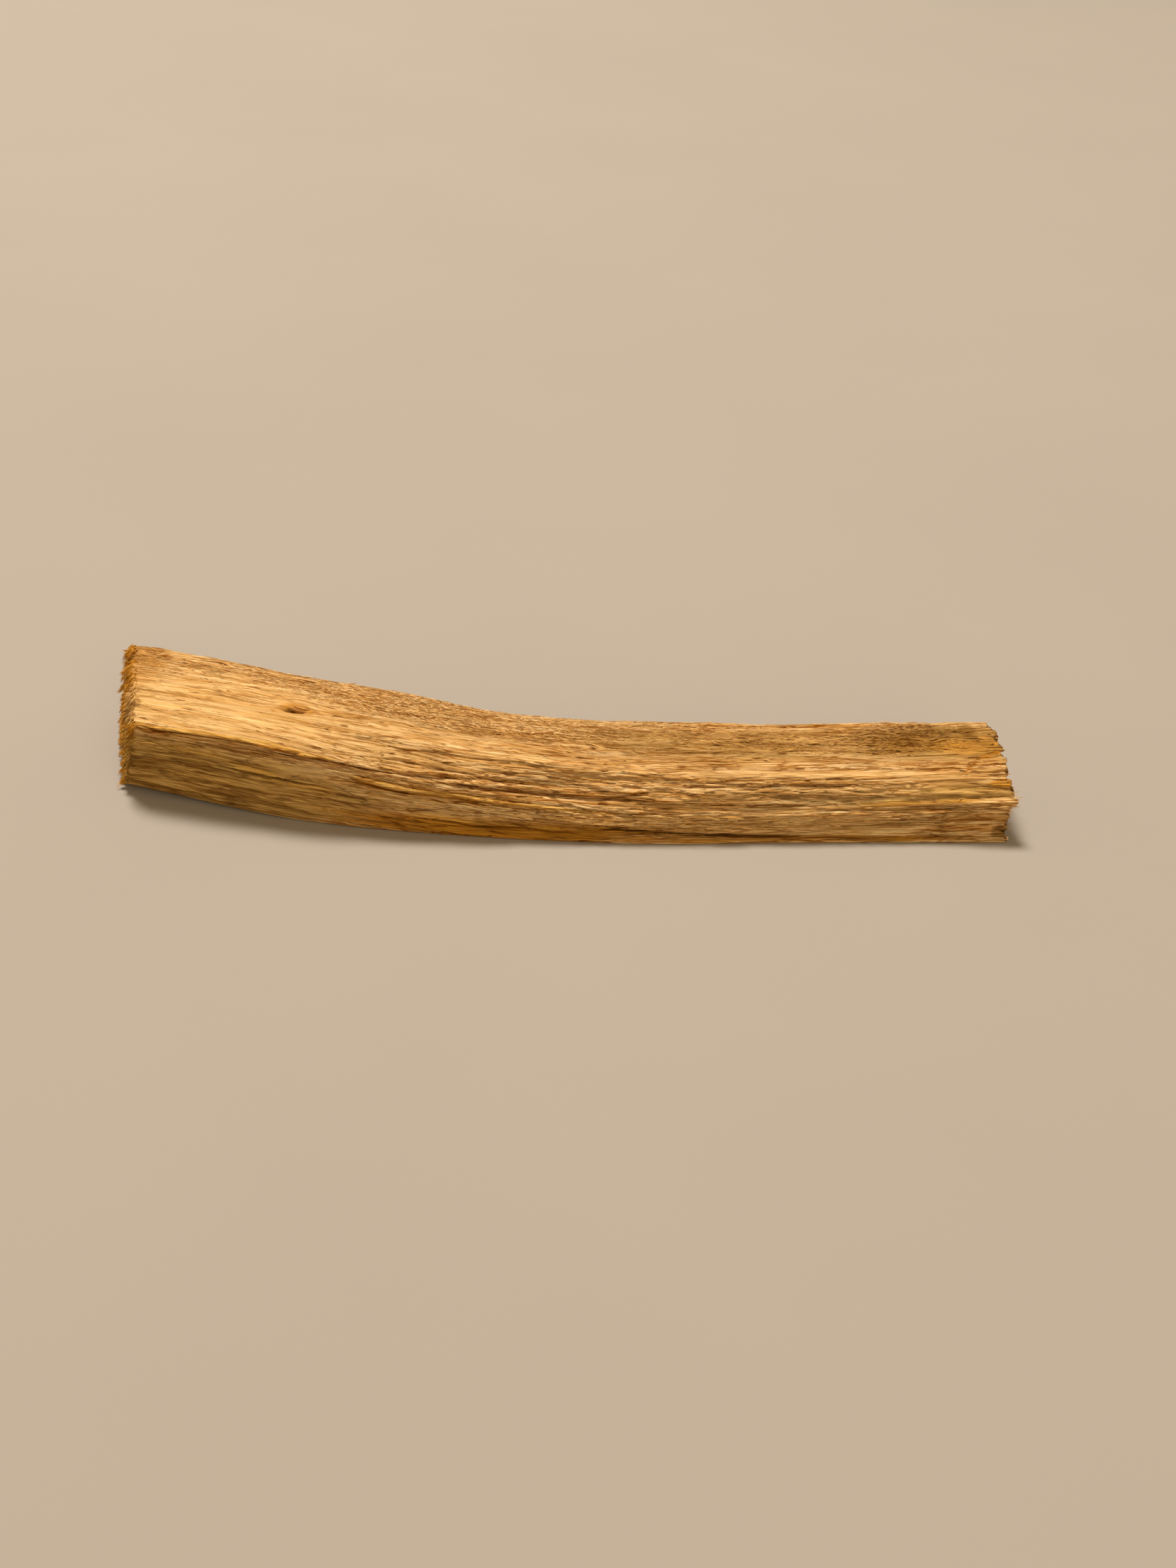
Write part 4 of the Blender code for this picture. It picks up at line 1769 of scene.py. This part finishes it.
    def shade_hollows(self, colour: Socket) -> Socket:
        """Paints shade in the hollows of the relief, most where the wood is torn.

        Args:
            colour: The wood without the painted shade in its hollows.

        Returns:
            The colour with them.
        """
        full = self.finish.hollow_shade_strength
        torn = self.mask[Breakage.TORN]
        deep = self.faded(torn, full * self.finish.untorn_hollow_shade, full)
        amount = self.product(self.attribute("hollow"), deep)
        return self.mix(amount, colour, self.finish.hollow, "MULTIPLY")

    def colour(self) -> Socket:
        """Lays the tones, the lines and the painted shade of the gaps and the hollows over the plain
        wood.
        """
        colour = self.shade_hollows(self.shade_gaps(self.lined(self.layered(self.ground()))))
        return self.shaded(colour, self.faded(self.tint, *self.finish.tint_shades))


@dataclass(frozen=True)
class PhotoCamera:
    """The camera: what it looks at, in millimetres, and how it is tilted, in degrees."""

    name: str = "photo_camera"
    target: tuple[float, float, float] = (3.8, -6.3, 5.8)
    distance: float = 222.0
    pitch: float = 32.8
    roll: float = 5.0
    lens: float = 47.2
    sensor: float = 36.0

    def axes(self) -> tuple[Vector, Vector, Vector]:
        """Works out the directions in the picture.

        Returns:
            The directions to the right, up and forward.
        """
        pitch, roll = math.radians(self.pitch), math.radians(self.roll)
        forward = Vector((0, math.cos(pitch), -math.sin(pitch)))
        level = Vector((1, 0, 0))
        upright = Vector((0, math.sin(pitch), math.cos(pitch)))
        right = math.cos(roll) * level + math.sin(roll) * upright
        return right, -math.sin(roll) * level + math.cos(roll) * upright, forward

    def place(self) -> None:
        """Puts the camera in the scene and makes it the one that is used."""
        right, upright, forward = self.axes()
        data = bpy.data.cameras.new(self.name)
        data.lens = self.lens
        data.sensor_width = self.sensor
        data.clip_start = MM
        camera = bpy.data.objects.new(self.name, data)
        bpy.context.scene.collection.objects.link(camera)
        turn = Matrix((right, upright, -forward)).transposed().to_4x4()
        eye = (Vector(self.target) - forward * self.distance) * MM
        camera.matrix_world = Matrix.Translation(eye) @ turn
        bpy.context.scene.camera = camera


@dataclass(frozen=True)
class SoftLight:
    """A square area light: the way to it, how far off and how wide it is, and its strength.

    The strength is what it adds to a white sheet that faces it, where 1 is white in the picture.
    """

    name: str
    direction: tuple[float, float, float]
    distance: float
    size: float
    strength: float
    colour: Colour

    def build(self) -> None:
        """Puts the light in the scene."""
        data = bpy.data.lights.new(self.name, "AREA")
        data.size = self.size * MM
        data.energy = self.strength * (math.pi * self.distance * MM) ** 2
        data.color = self.colour
        lamp = bpy.data.objects.new(self.name, data)
        bpy.context.scene.collection.objects.link(lamp)
        away = Vector(self.direction).normalized()
        turn = away.to_track_quat("Z", "Y").to_matrix().to_4x4()
        lamp.matrix_world = Matrix.Translation(away * self.distance * MM) @ turn


@dataclass
class Studio:
    """The pale floor, the soft lights and the warm light from all round."""

    floor_name: str = "pale_floor"
    floor_size: float = 4000.0
    floor_squares: int = 8
    floor_colour: Colour = (0.41, 0.384, 0.368)
    floor_roughness: float = 0.9
    mottle_noise: tuple[float, ...] = (0.06, 0.06, 3, 0.5)
    mottle_range: Pair = (0.2, 0.8)
    mottle: Pair = (0.97, 1.0)
    ambient_colour: Colour = (1.0, 0.73, 0.38)
    ambient: float = 0.32
    lights: tuple[SoftLight, ...] = (
        SoftLight("key_light", (-0.25, 0.35, 0.90), 1500, 420, 1.12, (1.0, 0.88, 0.73)),
        SoftLight("front_fill", (0.3, -0.8, 0.45), 1500, 900, 0.27, (1.0, 0.82, 0.57)),
    )

    def floor(self) -> None:
        """Builds the floor."""
        sheet = bmesh.new()
        half, squares = self.floor_size * MM / 2, self.floor_squares
        bmesh.ops.create_grid(sheet, x_segments=squares, y_segments=squares, size=half)
        mesh = bpy.data.meshes.new(self.floor_name)
        sheet.to_mesh(mesh)
        sheet.free()
        mesh.materials.append(self.floor_material())
        floor = bpy.data.objects.new(self.floor_name, mesh)
        bpy.context.scene.collection.objects.link(floor)

    def floor_material(self) -> Material:
        """Makes the floor's finish.

        Returns:
            A matt material with a faint mottle.
        """
        material = bpy.data.materials.new(self.floor_name)
        material.use_nodes = True
        wiring = Wiring(material.node_tree)
        shader = material.node_tree.nodes["Principled BSDF"]
        where = wiring.node("TexCoord", {}).outputs["Object"]
        cloud = wiring.grained(where, self.mottle_noise)
        shade = wiring.mapped(cloud, *self.mottle_range, *self.mottle)
        wiring.feed(shader.inputs["Base Color"], wiring.shaded(self.floor_colour, shade))
        shader.inputs["Roughness"].default_value = self.floor_roughness
        return material

    def world(self) -> None:
        """Lights the scene warmly from all round."""
        world = bpy.data.worlds.new("warm_room")
        world.use_nodes = True
        background = world.node_tree.nodes["Background"]
        background.inputs["Color"].default_value = (*self.ambient_colour, 1)
        background.inputs["Strength"].default_value = self.ambient
        bpy.context.scene.world = world

    def build(self) -> None:
        """Builds the floor, the lights and the world."""
        self.floor()
        for light in self.lights:
            light.build()
        self.world()
        bpy.context.scene.view_settings.view_transform = "Standard"


def report(piece: Object) -> None:
    """Logs a piece's name and how many triangles it has."""
    piece.data.calc_loop_triangles()
    log.info("%s: %d triangles", piece.name, len(piece.data.loop_triangles))


def main() -> None:
    """Builds the stick, its fibres and the studio in order."""
    logging.basicConfig(level=logging.INFO, format="%(name)s: %(message)s")
    group = PackedFibres().build()
    flat = {"gap_shade_strength": 0.0, "bump": 0.0}
    wood = WoodFinish("split_wood").material(group)
    loose = WoodFinish("loose_fibre", dark=(0.70, 0.40, 0.13), **flat).material(group)
    cut = WoodFinish("cut_fibre", (0.76, 0.43, 0.09), (0.42, 0.19, 0.03), **flat).material(group)
    surface = WoodSurface()
    pieces = (
        (StickSkin(surface), wood),
        (SurfaceSlivers(
            surface=surface, name="long_fibres", seed=4, count=1600,
            kinds=((Breakage.TORN, 0.2),), elsewhere=0.5,
            length=(3.0, 10.0), width=(0.06, 0.15), thickness=(0.05, 0.09),
            lift=(-0.02, 0.04), sunk=0.04, stray=0.010, curl=0.010,
        ), loose),
        (SurfaceSlivers(
            surface=surface, name="torn_slivers", seed=5, count=1500,
            kinds=((Breakage.TORN, 0.9), (Breakage.CREASED, 0.25)), elsewhere=0.06,
            length=(0.9, 3.6), width=(0.12, 0.32), thickness=(0.06, 0.14),
            lift=(-0.03, 0.25), sunk=0.06, stray=0.05, curl=0.04, slant=0.05,
        ), loose),
        (SurfaceSlivers(
            surface=surface, name="woolly_fibres", seed=6, count=3600,
            kinds=((Breakage.WOOLLY, 0.9),), elsewhere=0.02,
            length=(0.8, 2.0), width=(0.08, 0.17), thickness=(0.06, 0.11),
            lift=(-0.05, 0.05), sunk=0.05, stray=0.16, curl=0.2, slant=0.15,
        ), loose),
        (CutBrush(surface=surface), cut),
        (BreakSplinters(surface=surface), loose),
    )
    for maker, finish in pieces:
        report(maker.build(finish))
    Studio().build()
    PhotoCamera().place()


if __name__ == "__main__":
    main()
